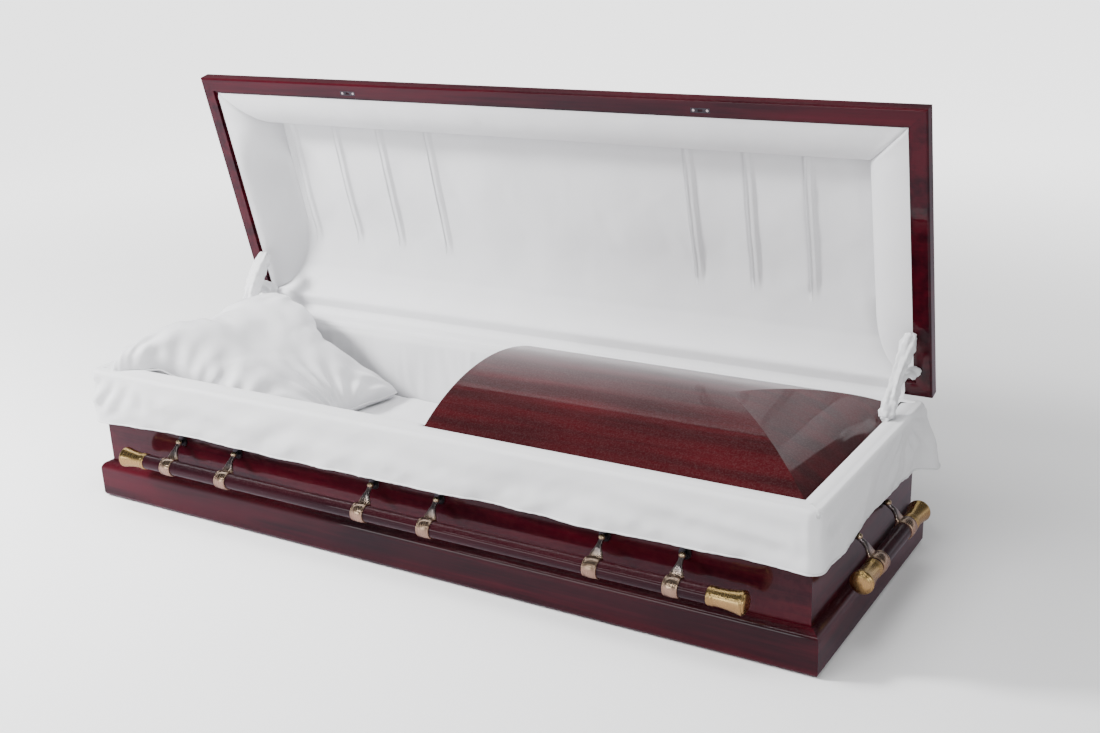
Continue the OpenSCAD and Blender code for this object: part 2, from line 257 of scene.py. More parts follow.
def grid_faces(rows: int, cols: int, wrap_cols: bool = False) -> list[list[int]]:
    """Quads of a grid of points.

    Args:
        rows: number of rows.
        cols: number of columns.
        wrap_cols: joins the last column to the first.

    Returns:
        The quads.
    """
    out = []
    for i in range(rows - 1):
        for j in range(cols if wrap_cols else cols - 1):
            this_row, next_row, right = i * cols, (i + 1) * cols, (j + 1) % cols
            out.append([this_row + j, next_row + j, next_row + right, this_row + right])
    return out


def grid_object(name: str, pts: Points, material: Material, wrap_cols: bool = False) -> Obj:
    """Makes a mesh from a grid of rows by columns by 3."""
    rows, cols = pts.shape[:2]
    return mesh_object(name, pts, grid_faces(rows, cols, wrap_cols), material)


def apply_modifiers(obj: Obj) -> None:
    """Bakes an object's modifiers into its mesh.

    Args:
        obj: the object.
    """
    graph = bpy.context.evaluated_depsgraph_get()
    graph.update()
    made = bpy.data.meshes.new_from_object(obj.evaluated_get(graph), depsgraph=graph)
    obj.modifiers.clear()
    obj.data = made
    made.polygons.foreach_set("use_smooth", [True] * len(made.polygons))


def stacked(*parts: Points) -> Points:
    """Array whose last axis holds the given coordinates."""
    return np.stack(parts, -1)


def around(count: int) -> Points:
    """Angles of a full turn in equal steps."""
    return np.linspace(0, 2 * math.pi, count, endpoint=False)


def tube_object(name: str, path: Points, radii: Points, segments: int, material: Material) -> Obj:
    """Makes a round cord along a path."""
    return grid_object(name, tube_points(path, radii, segments), material, wrap_cols=True)

def tube_points(
    path: Points, radii: Points, segments: int = 12, up: Sequence[float] = (0.0, 0.0, 1.0)
) -> Points:
    """Ring of points round each point of a path.

    Args:
        path: array of points.
        radii: radius at each point, or at each point and segment.
        segments: points in a ring.
        up: direction that the first ring is laid out from.

    Returns:
        Array of path points by segments by 3.
    """
    path = np.asarray(path, float)
    tangent = unit(np.gradient(path, axis=0))
    side = unit(np.cross(tangent, np.asarray(up, float)))
    other = np.cross(side, tangent)
    a = around(segments)
    radii = np.asarray(radii, float)
    if radii.ndim == 1:
        radii = np.repeat(radii[:, None], segments, 1)
    return (
        path[:, None]
        + radii[..., None] * (
            np.cos(a)[None, :, None] * side[:, None] + np.sin(a)[None, :, None] * other[:, None]
        )
    )


def lathe_points(profile: Sequence[tuple[float, float]], segments: int = 72) -> Points:
    """Turns an outline about the X axis.

    Args:
        profile: radius and place along X of each point, in metres.
        segments: number of steps round.

    Returns:
        Array of profile points by segments by 3.
    """
    a = around(segments)
    prof = np.asarray(profile, float)
    return stacked(np.repeat(prof[:, 1:2], segments, 1), prof[:, :1] * np.cos(a), prof[:, :1] * np.sin(a))


def joined(name: str, objects: Sequence[Obj]) -> Obj:
    """Joins objects into one.

    Args:
        name: name of the result.
        objects: what to join.

    Returns:
        The joined object.
    """
    verts, faces, mats, slots = [], [], [], []
    for obj in objects:
        start = sum(len(v) for v in verts)
        co = np.array([obj.matrix_world @ v.co for v in obj.data.vertices], float).reshape(-1, 3)
        verts.append(co)
        if obj.data.materials[0] not in mats:
            mats.append(obj.data.materials[0])
        which = mats.index(obj.data.materials[0])
        for p in obj.data.polygons:
            faces.append([start + k for k in p.vertices])
            slots.append(which)
    out = mesh_object(name, np.concatenate(verts), faces, mats[0])
    for m in mats[1:]:
        out.data.materials.append(m)
    out.data.polygons.foreach_set("material_index", slots)
    for obj in objects:
        bpy.data.objects.remove(obj)
    return out


def spaced(
    low: float, high: float, step: float, near: Sequence[float] = (), offsets: Sequence[float] = ()
) -> Points:
    """Sorted sample places, denser round some of them.

    Args:
        low: first place.
        high: last place.
        step: usual spacing.
        near: places that get extra samples.
        offsets: distances of the extra samples from each of them.

    Returns:
        The places.
    """
    base = list(np.linspace(low, high, max(2, int(round((high - low) / step)) + 1)))
    extra = [n + o for n in near for o in offsets if low < n + o < high]
    out = sorted(set(round(v, 6) for v in base + extra))
    keep = [out[0]]
    for v in out[1:]:
        if v - keep[-1] > 2e-4:
            keep.append(v)
    return np.array(keep)


# ------------------------------------------------------------------ shader groups


class Graph:
    """Short way to fill a node tree."""

    def __init__(self, tree: bpy.types.NodeTree) -> None:
        """Takes the tree."""
        self.tree = tree

    def put(self, socket: Socket, value: object) -> None:
        """Links a socket or sets its value.

        Args:
            socket: the input.
            value: another node's output, or a constant.
        """
        if isinstance(value, Socket):
            self.tree.links.new(value, socket)
        else:
            socket.default_value = value

    def fill(self, node: bpy.types.Node, inputs: dict) -> None:
        """Links or sets several inputs of a node."""
        for key, value in inputs.items():
            self.put(node.inputs[key], value)

    def add(self, kind: str, inputs: Optional[dict] = None, **settings: object) -> bpy.types.Node:
        """Adds a node.

        Args:
            kind: node type.
            inputs: input name or number to value or output.
            settings: attributes of the node.

        Returns:
            The node.
        """
        node = self.tree.nodes.new(kind)
        for key, value in settings.items():
            setattr(node, key, value)
        self.fill(node, inputs or {})
        return node

    def group(self, tree: bpy.types.NodeTree, inputs: dict) -> bpy.types.bpy_prop_collection:
        """Adds a node group and gives its outputs."""
        return self.add("ShaderNodeGroup", inputs, node_tree=tree).outputs

    def math(self, operation: str, a: object, b: object = 0.0, clamp: bool = False) -> Socket:
        """Adds a math node, with its result held from 0 to 1 if clamp is set."""
        return self.add("ShaderNodeMath", {0: a, 1: b}, operation=operation, use_clamp=clamp).outputs[0]

    def times(self, a: object, b: object, clamp: bool = False) -> Socket:
        """Product of two values."""
        return self.math("MULTIPLY", a, b, clamp)

    def plus(self, a: object, b: object) -> Socket:
        """Sum of two values."""
        return self.math("ADD", a, b)

    def mix(self, factor: object, a: object, b: object) -> Socket:
        """Mixes two colours; factor is the share of the second."""
        return self.add("ShaderNodeMix", {0: factor, 6: a, 7: b}, data_type="RGBA").outputs[2]

    def ramp(self, value: Socket, low: float, high: float) -> Socket:
        """Maps the range from low to high smoothly to 0 to 1."""
        inputs = {0: value, 1: low, 2: high}
        return self.add("ShaderNodeMapRange", inputs, interpolation_type="SMOOTHSTEP").outputs[0]

    def between(self, value: Socket, low: float, high: float) -> Socket:
        """Maps 0 to 1 to the range from low to high."""
        return self.add("ShaderNodeMapRange", {0: value, 1: 0.0, 2: 1.0, 3: low, 4: high}).outputs[0]

    def noise(
        self, vector: object, scale: float, detail: float = 3.0, rough: float = 0.55, distortion: float = 0.0
    ) -> Socket:
        """Adds a noise texture."""
        inputs = {"Vector": vector, "Scale": scale, "Detail": detail, "Roughness": rough}
        return self.add("ShaderNodeTexNoise", {**inputs, "Distortion": distortion}).outputs[0]

    def scaled(self, vector: object, by: object) -> Socket:
        """Multiplies a vector by its factors."""
        return self.add("ShaderNodeVectorMath", {0: vector, 1: by}, operation="MULTIPLY").outputs[0]

    def height(self, vector: object) -> Socket:
        """Z of a vector."""
        return self.add("ShaderNodeSeparateXYZ", {0: vector}).outputs[2]

    def geometry(self, output: str) -> Socket:
        """One output of the geometry node."""
        return self.add("ShaderNodeNewGeometry").outputs[output]

    def coords(self, output: str = "Object") -> Socket:
        """Texture coordinates."""
        return self.add("ShaderNodeTexCoord").outputs[output]

    def bumped(self, height: Socket, strength: float, distance: float) -> Socket:
        """Normals bumped by a height."""
        inputs = {"Height": height, "Strength": strength, "Distance": distance}
        return self.add("ShaderNodeBump", inputs).outputs[0]


def shader_group(
    name: str, inputs: Sequence[tuple[str, str, object]], outputs: Sequence[tuple[str, str]]
) -> tuple[Graph, bpy.types.bpy_prop_collection, bpy.types.Node]:
    """Makes an empty shader node group with a Vector input and other named sockets.

    Args:
        name: group name.
        inputs: name, socket kind and default of each further input.
        outputs: name and socket kind of each output.

    Returns:
        The group's graph, what its input node gives, and its output node.
    """
    tree = bpy.data.node_groups.new(name, "ShaderNodeTree")
    for label, kind, default in (("Vector", VECTOR, (0, 0, 0)), *inputs):
        tree.interface.new_socket(name=label, in_out="INPUT", socket_type=kind).default_value = default
    for label, kind in outputs:
        tree.interface.new_socket(name=label, in_out="OUTPUT", socket_type=kind)
    given = tree.nodes.new("NodeGroupInput").outputs
    return Graph(tree), given, tree.nodes.new("NodeGroupOutput")


class Effects:
    """Shared effects, each a node group with named inputs and outputs."""

    def __init__(self) -> None:
        """Builds every group once."""
        self.grain = self._grain()
        self.weave = self._weave()
        self.wear = self._wear()
        self.dust = self._dust()
        self.patina = self._patina()

    def _grain(self) -> bpy.types.NodeTree:
        """Wood figure under lacquer, stretched along the board.

        Returns:
            The group.
        """
        g, given, made = shader_group(
            "wood_grain",
            [("Stretch", VECTOR, (1.5, 30, 30)), ("Dark", COLOR, (0.02, 0.003, 0.005, 1)),
             ("Light", COLOR, (0.06, 0.01, 0.012, 1)), ("Figure", FLOAT, 1.0)],
            [("Color", COLOR), ("Height", FLOAT)],
        )
        base = g.scaled(given["Vector"], given["Stretch"])
        broad = g.noise(base, 0.8, 4.0, 0.55, 0.08)
        fine = g.noise(g.scaled(base, (0.9, 7.0, 7.0)), 1.0, 2.0, 0.5)
        cloud = g.noise(given["Vector"], 2.2, 2.0)
        streak = g.plus(g.times(g.ramp(broad, 0.33, 0.68), 0.62), g.times(g.ramp(fine, 0.35, 0.75), 0.12))
        streak = g.plus(streak, g.times(g.ramp(cloud, 0.35, 0.7), 0.25))
        streak = g.times(streak, given["Figure"], clamp=True)
        g.fill(made, {"Color": g.mix(streak, given["Dark"], given["Light"]), "Height": fine})
        return g.tree

    def _weave(self) -> bpy.types.NodeTree:
        """Fine cloth surface: threads, slubs and a faint broad unevenness.

        Returns:
            The group.
        """
        g, given, made = shader_group(
            "cloth_weave",
            [("Threads", FLOAT, 900.0), ("Slub", FLOAT, 0.4)],
            [("Height", FLOAT), ("Shade", FLOAT)],
        )
        v = given["Vector"]
        cross = g.add("ShaderNodeVectorMath", {0: v, "Scale": given["Threads"]}, operation="SCALE").outputs[0]
        warp = g.noise(g.scaled(cross, (1.0, 0.12, 1.0)), 1.0, 2.0)
        weft = g.noise(g.scaled(cross, (0.12, 1.0, 0.12)), 1.0, 2.0)
        slub = g.noise(g.scaled(v, (14.0, 60.0, 60.0)), 1.0, 3.0)
        height = g.plus(g.math("MAXIMUM", warp, weft), g.times(slub, given["Slub"]))
        g.fill(made, {"Height": height, "Shade": g.ramp(g.noise(v, 7.0, 3.0), 0.3, 0.7)})
        return g.tree

    def _wear(self) -> bpy.types.NodeTree:
        """Mask of the edges where a finish is rubbed.

        Returns:
            The group.
        """
        g, given, made = shader_group("edge_wear", [("Amount", FLOAT, 1.0)], [("Mask", FLOAT)])
        point = g.geometry("Pointiness")
        spots = g.ramp(g.noise(given["Vector"], 60.0, 4.0), 0.42, 0.62)
        edge = g.ramp(point, 0.60, 0.80)
        g.fill(made, {"Mask": g.times(g.times(edge, spots), given["Amount"], clamp=True)})
        return g.tree

    def _dust(self) -> bpy.types.NodeTree:
        """Mask of a light dust on what faces up.

        Returns:
            The group.
        """
        g, given, made = shader_group("settled_dust", [("Amount", FLOAT, 0.1)], [("Mask", FLOAT)])
        up = g.height(g.geometry("Normal"))
        specks = g.ramp(g.noise(given["Vector"], 240.0, 5.0, 0.7), 0.35, 0.8)
        g.fill(made, {"Mask": g.times(g.times(g.ramp(up, 0.2, 1.0), specks), given["Amount"], clamp=True)})
        return g.tree

    def _patina(self) -> bpy.types.NodeTree:
        """Aged metal: dark in hollows, bright on edges, with soft cloudy change.

        Returns:
            The group.
        """
        g, given, made = shader_group(
            "metal_patina",
            [("Bright", COLOR, (0.6, 0.45, 0.2, 1)), ("Dark", COLOR, (0.2, 0.13, 0.07, 1)),
             ("Age", FLOAT, 0.5)],
            [("Color", COLOR), ("Roughness", FLOAT), ("Height", FLOAT)],
        )
        v = given["Vector"]
        point = g.geometry("Pointiness")
        hollow = g.times(0.55, g.math("SUBTRACT", 1.0, g.ramp(point, 0.30, 0.50)))
        cloud = g.ramp(g.noise(v, 28.0, 4.0), 0.35, 0.75)
        brush = g.noise(g.scaled(v, (900.0, 60.0, 60.0)), 1.0, 2.0)
        dark = g.times(g.plus(g.times(cloud, 0.55), hollow), given["Age"], clamp=True)
        g.fill(made, {
            "Color": g.mix(dark, given["Bright"], given["Dark"]),
            "Roughness": g.plus(0.2, g.plus(g.times(dark, 0.22), g.times(brush, 0.12))),
            "Height": brush,
        })
        return g.tree


@dataclass(frozen=True)
class Finish:
    """What every finish has: a name, and the way its nodes start."""

    name: str

    def start(self) -> tuple[Material, Graph, bpy.types.Node, Socket]:
        """Makes the material.

        Returns:
            The material, its graph, its principled shader and its object coordinates.
        """
        mat = bpy.data.materials.new(self.name)
        mat.use_nodes = True
        g = Graph(mat.node_tree)
        return mat, g, mat.node_tree.nodes["Principled BSDF"], g.coords()


@dataclass(frozen=True)
class Lacquer(Finish):
    """Glossy wood lacquer over a mahogany figure."""

    dark: Rgb = (0.0075, 0.0005, 0.0024)
    light: Rgb = (0.066, 0.0012, 0.0066)
    stretch: tuple[float, float, float] = (2.0, 30.0, 30.0)
    figure: float = 0.8
    roughness: float = 0.34
    coat_roughness: float = 0.016
    coat_ior: float = 1.36
    coat: float = 1.0
    wear: float = 0.25
    dust: float = 0.05
    rubbed: Rgb = (0.09, 0.018, 0.016)
    dust_colour: Rgb = (0.45, 0.43, 0.42)

    def build(self, fx: Effects) -> Material:
        """Makes the material.

        Args:
            fx: the shared effects.

        Returns:
            The material.
        """
        mat, g, bsdf, coords = self.start()
        figure = {
            "Stretch": self.stretch, "Dark": (*self.dark, 1), "Light": (*self.light, 1),
            "Figure": self.figure
        }
        grain = g.group(fx.grain, {"Vector": coords, **figure})
        wear = g.group(fx.wear, {"Vector": coords, "Amount": self.wear})[0]
        dust = g.group(fx.dust, {"Vector": coords, "Amount": self.dust})[0]
        colour = g.mix(wear, grain["Color"], (*self.rubbed, 1))
        g.fill(bsdf, {
            "Base Color": g.mix(dust, colour, (*self.dust_colour, 1)),
            "Roughness": self.roughness,
            "Specular IOR Level": 0.08,
            "Coat Weight": self.coat,
            "Coat IOR": self.coat_ior,
            "Coat Roughness": g.plus(self.coat_roughness, g.times(dust, 0.5)),
            "Coat Normal": g.bumped(g.noise(coords, 150.0, 1.0), 0.006, 0.002),
            "Normal": g.bumped(grain["Height"], 0.03, 0.0003),
        })
        return mat


@dataclass(frozen=True)
class Cloth(Finish):
    """White lining cloth."""

    colour: Rgb = (0.69, 0.69, 0.705)
    shade: Rgb = (0.655, 0.655, 0.672)
    roughness: float = 0.62
    sheen: float = 0.25
    threads: float = 1100.0
    depth: float = 0.00025
    slub: float = 0.3

    def build(self, fx: Effects) -> Material:
        """Makes the material.

        Args:
            fx: the shared effects.

        Returns:
            The material.
        """
        mat, g, bsdf, coords = self.start()
        weave = g.group(fx.weave, {"Vector": coords, "Threads": self.threads, "Slub": self.slub})
        factor = g.times(weave["Shade"], 0.45)
        g.fill(bsdf, {
            "Base Color": g.mix(factor, (*self.colour, 1), (*self.shade, 1)),
            "Roughness": g.plus(self.roughness - 0.06, g.times(weave["Shade"], 0.12)),
            "Sheen Weight": self.sheen,
            "Sheen Roughness": 0.4,
            "Specular IOR Level": 0.35,
            "Normal": g.bumped(weave["Height"], 0.35, self.depth),
        })
        return mat


@dataclass(frozen=True)
class AgedMetal(Finish):
    """Brass, copper or steel with a patina."""

    bright: Rgb = (0.62, 0.43, 0.17)
    dark: Rgb = (0.28, 0.19, 0.09)
    age: float = 0.4
    # top: greyer colour towards the top, partly the plating's own tone and partly painted reflection
    top: Optional[Rgb] = None
    top_from: float = 0.172
    top_to: float = 0.196

    def build(self, fx: Effects) -> Material:
        """Makes the material.

        Args:
            fx: the shared effects.

        Returns:
            The material.
        """
        mat, g, bsdf, coords = self.start()
        bright: object = (*self.bright, 1)
        # greyer towards the top: partly the plating's tone, partly painted reflection
        if self.top:
            bright = g.mix(g.ramp(g.height(coords), self.top_from, self.top_to), bright, (*self.top, 1))
        looks = {"Vector": coords, "Bright": bright, "Dark": (*self.dark, 1), "Age": self.age}
        patina = g.group(fx.patina, looks)
        g.fill(bsdf, {
            "Base Color": patina["Color"],
            "Metallic": 1.0,
            "Roughness": patina["Roughness"],
            "Normal": g.bumped(patina["Height"], 0.012, 0.0002),
        })
        return mat


class Finishes:
    """Every material, by the record's slot."""

    def __init__(self) -> None:
        """Builds the materials."""
        fx = Effects()
        red = {"dark": (0.016, 0.0004, 0.0014), "light": (0.064, 0.0007, 0.0036), "coat": 0.62}
        self.wood_x = Lacquer("lacquer_along_x").build(fx)
        self.wood_y = Lacquer("lacquer_along_y", stretch=(30.0, 2.0, 30.0)).build(fx)
        self.panel = Lacquer("panel_lacquer", figure=0.7, wear=0.1, **red).build(fx)
        self.bar = Lacquer("bar_lacquer", figure=0.6, light=(0.032, 0.0007, 0.0040), coat=0.72).build(fx)
        self.board = Lacquer(
            "board_sealer", dark=(0.16, 0.09, 0.05), light=(0.30, 0.19, 0.11), roughness=0.6,
            coat_roughness=0.35
        ).build(fx)
        self.satin = Cloth("lining_satin", roughness=0.55).build(fx)
        self.pillow = Cloth("pillow_satin", roughness=0.46, sheen=0.3, threads=1300.0).build(fx)
        self.skirt = Cloth("skirt_crepe", colour=(0.70, 0.702, 0.712), roughness=0.6, slub=0.6).build(fx)
        self.lid_cloth = Cloth("lid_crepe").build(fx)
        self.bright = AgedMetal("tip_brass").build(fx)
        # the arms' grey-steel top is partly plating, partly painted reflection
        self.arm = AgedMetal(
            "arm_bronze", bright=(0.56, 0.40, 0.27), dark=(0.20, 0.13, 0.09), age=0.45,
            top=(0.30, 0.27, 0.26)
        ).build(fx)
        self.knob = AgedMetal("knob_brass", bright=(0.60, 0.48, 0.30), age=0.5).build(fx)
        self.steel = AgedMetal(
            "dark_steel", bright=(0.085, 0.085, 0.09), dark=(0.02, 0.02, 0.022), age=0.7
        ).build(fx)
        self.screw = AgedMetal(
            "screw_metal", bright=(0.75, 0.73, 0.68), dark=(0.35, 0.33, 0.3), age=0.3
        ).build(fx)


# ------------------------------------------------------------------ studio


@dataclass(frozen=True)
class Studio:
    """Camera, light and floor."""

    eye: tuple[float, float, float] = (1.9366, -2.7840, 1.5712)
    azimuth: float = 31.86
    elevation: float = 19.86
    roll: float = -2.35
    lens: float = 45.44
    shift: tuple[float, float] = (0.0015, 0.0231)
    low_light: float = 0.50
    high_light: float = 0.62
    mirror_low: float = 0.85
    mirror_high: float = 0.10
    floor_half: float = 45.0
    floor_gap: float = 0.0006

    def camera(self) -> None:
        """Makes the scene's camera."""
        az, el, roll = (math.radians(a) for a in (self.azimuth, self.elevation, self.roll))
        ahead = Vector((-math.sin(az) * math.cos(el), math.cos(az) * math.cos(el), -math.sin(el)))
        right = ahead.cross(Vector((0, 0, 1))).normalized()
        up = right.cross(ahead)
        lean, turn = math.cos(roll), math.sin(roll)
        right, up = lean * right + turn * up, lean * up - turn * right
        data = bpy.data.cameras.new("camera")
        data.lens, data.shift_x, data.shift_y = self.lens, *self.shift
        obj = bpy.data.objects.new("camera", data)
        obj.matrix_world = Matrix(
            [(right[i], up[i], -ahead[i], self.eye[i]) for i in range(3)] + [(0, 0, 0, 1)]
        )
        bpy.context.scene.collection.objects.link(obj)
        bpy.context.scene.camera = obj

    def world(self) -> None:
        """Makes the soft white surroundings, bright at eye level and darker overhead."""
        world = bpy.data.worlds.new("studio")
        world.use_nodes = True
        bpy.context.scene.world = world
        g = Graph(world.node_tree)
        height = g.height(g.coords("Generated"))
        lit = g.between(g.ramp(height, 0.0, 0.7), self.low_light, self.high_light)
        mirrored = g.between(g.ramp(height, 0.02, 0.42), self.mirror_low, self.mirror_high)
        glossy = g.add("ShaderNodeLightPath").outputs["Is Glossy Ray"]
        strength = g.add("ShaderNodeMix", {0: glossy, 2: lit, 3: mirrored}, data_type="FLOAT").outputs[0]
        colour = g.mix(glossy, (0.985, 0.99, 1.0, 1), (0.93, 0.90, 1.0, 1))
        g.fill(world.node_tree.nodes["Background"], {"Color": colour, "Strength": strength})

    def lamp(
        self, name: str, place: Sequence[float], aim: Sequence[float], size: tuple[float, float],
        watts: float, seen: bool
    ) -> None:
        """Adds a soft area light.

        Args:
            name: its name.
            place: where it is.
            aim: the point it faces.
            size: its two sides in metres.
            watts: its power.
            seen: whether glossy surfaces mirror it.
        """
        data = bpy.data.lights.new(name, "AREA")
        data.shape, data.size, data.size_y, data.energy = "RECTANGLE", size[0], size[1], watts
        obj = bpy.data.objects.new(name, data)
        obj.location = place
        obj.rotation_euler = (Vector(aim) - Vector(place)).to_track_quat("-Z", "Y").to_euler()
        obj.visible_glossy = seen
        bpy.context.scene.collection.objects.link(obj)

    def floor(self) -> None:
        """Makes the white floor, which glows towards the horizon so that it runs out of sight, and shows
        glossy surfaces a painted darker purple-grey reflection.
        """
        mat = bpy.data.materials.new("studio_floor")
        mat.use_nodes = True
        g = Graph(mat.node_tree)
        shade = g.ramp(g.noise(g.coords(), 1.5, 3.0), 0.2, 0.8)
        path = g.add("ShaderNodeLightPath")
        pale = g.mix(shade, (0.93, 0.93, 0.935, 1), (0.95, 0.95, 0.955, 1))
        # painted reflection: glossy rays see the floor as a darker purple-grey than the camera does, so the
        # lacquer mirrors a dim tinted floor
        colour = g.mix(path.outputs["Is Glossy Ray"], pale, (0.40, 0.34, 0.39, 1))
        away = g.add("ShaderNodeVectorMath", {0: g.coords()}, operation="LENGTH").outputs["Value"]
        far = g.times(g.ramp(away, 1.2, 6.0), path.outputs["Is Camera Ray"])
        g.fill(mat.node_tree.nodes["Principled BSDF"], {
            "Base Color": colour,
            "Emission Color": (1.0, 1.0, 1.0, 1),
            "Emission Strength": g.times(far, 2.2),
            "Roughness": 0.8,
        })
        axis = np.linspace(-self.floor_half, self.floor_half, 8)
        x, y = np.meshgrid(axis, axis, indexing="ij")
        grid_object("studio_floor", stacked(x, y, np.full_like(x, -self.floor_gap)), mat)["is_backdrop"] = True

    def build(self) -> None:
        """Makes the whole studio."""
        self.camera()
        self.world()
        self.lamp("key", (-3.0, -1.7, 2.7), (0, 0.1, 0.3), (0.8, 0.7), 400, False)
        self.lamp("overhead", (0.2, -0.5, 3.3), (0, 0.1, 0.3), (2.2, 1.4), 70, False)
        self.lamp("strip", (0.2, -3.0, 2.3), (0, -0.3, 0.2), (4.6, 0.10), 26, True)
        self.lamp("front_box", (-1.6, -4.2, 1.0), (0, 0, 0.2), (2.6, 0.7), 26, True)
        self.lamp("foot_box", (3.6, -2.6, 1.4), (0.9, 0, 0.2), (0.5, 0.9), 24, True)
        self.floor()


# ------------------------------------------------------------------ wood


class Wood:
    """Materials for the CAD wood, whose shapes stay."""

    def __init__(self, finishes: Finishes) -> None:
        """Takes the finishes."""
        self.finishes = finishes

    def build(self) -> None:
        """Puts the lacquer on each wooden node, its grain along the board."""
        for name, obj in frame["nodes"].items():
            kind = obj.data.materials[0].name if obj.data.materials else ""
            if kind not in (Slot.DARK.value, Slot.RED.value, Slot.BOARD.value):
                continue
            mat = self.finishes.wood_y if ("head_" in name or "foot_" in name) else self.finishes.wood_x
            if name == "foot_panel":
                mat = self.finishes.panel
            elif name == "bottom_board":
                mat = self.finishes.board
            elif name.endswith("_bar"):
                mat = self.finishes.bar
            obj.data.materials[0] = mat


def dress(obj: Obj, body: str, slot: Slot, *nodes: str) -> Obj:
    """Makes a piece ride on a body and stand for CAD nodes.

    Args:
        obj: the piece.
        body: the body it rides on, or "" for none.
        slot: the record's material slot; not used.
        nodes: CAD nodes it stands for.

    Returns:
        The piece.
    """
    if body:
        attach(obj, body)
    if nodes:
        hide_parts(*nodes)
    LOG.info("%s: %d vertices, rides on %s", obj.name, len(obj.data.vertices), body or "a blend")
    return obj


# ------------------------------------------------------------------ cloth of the body


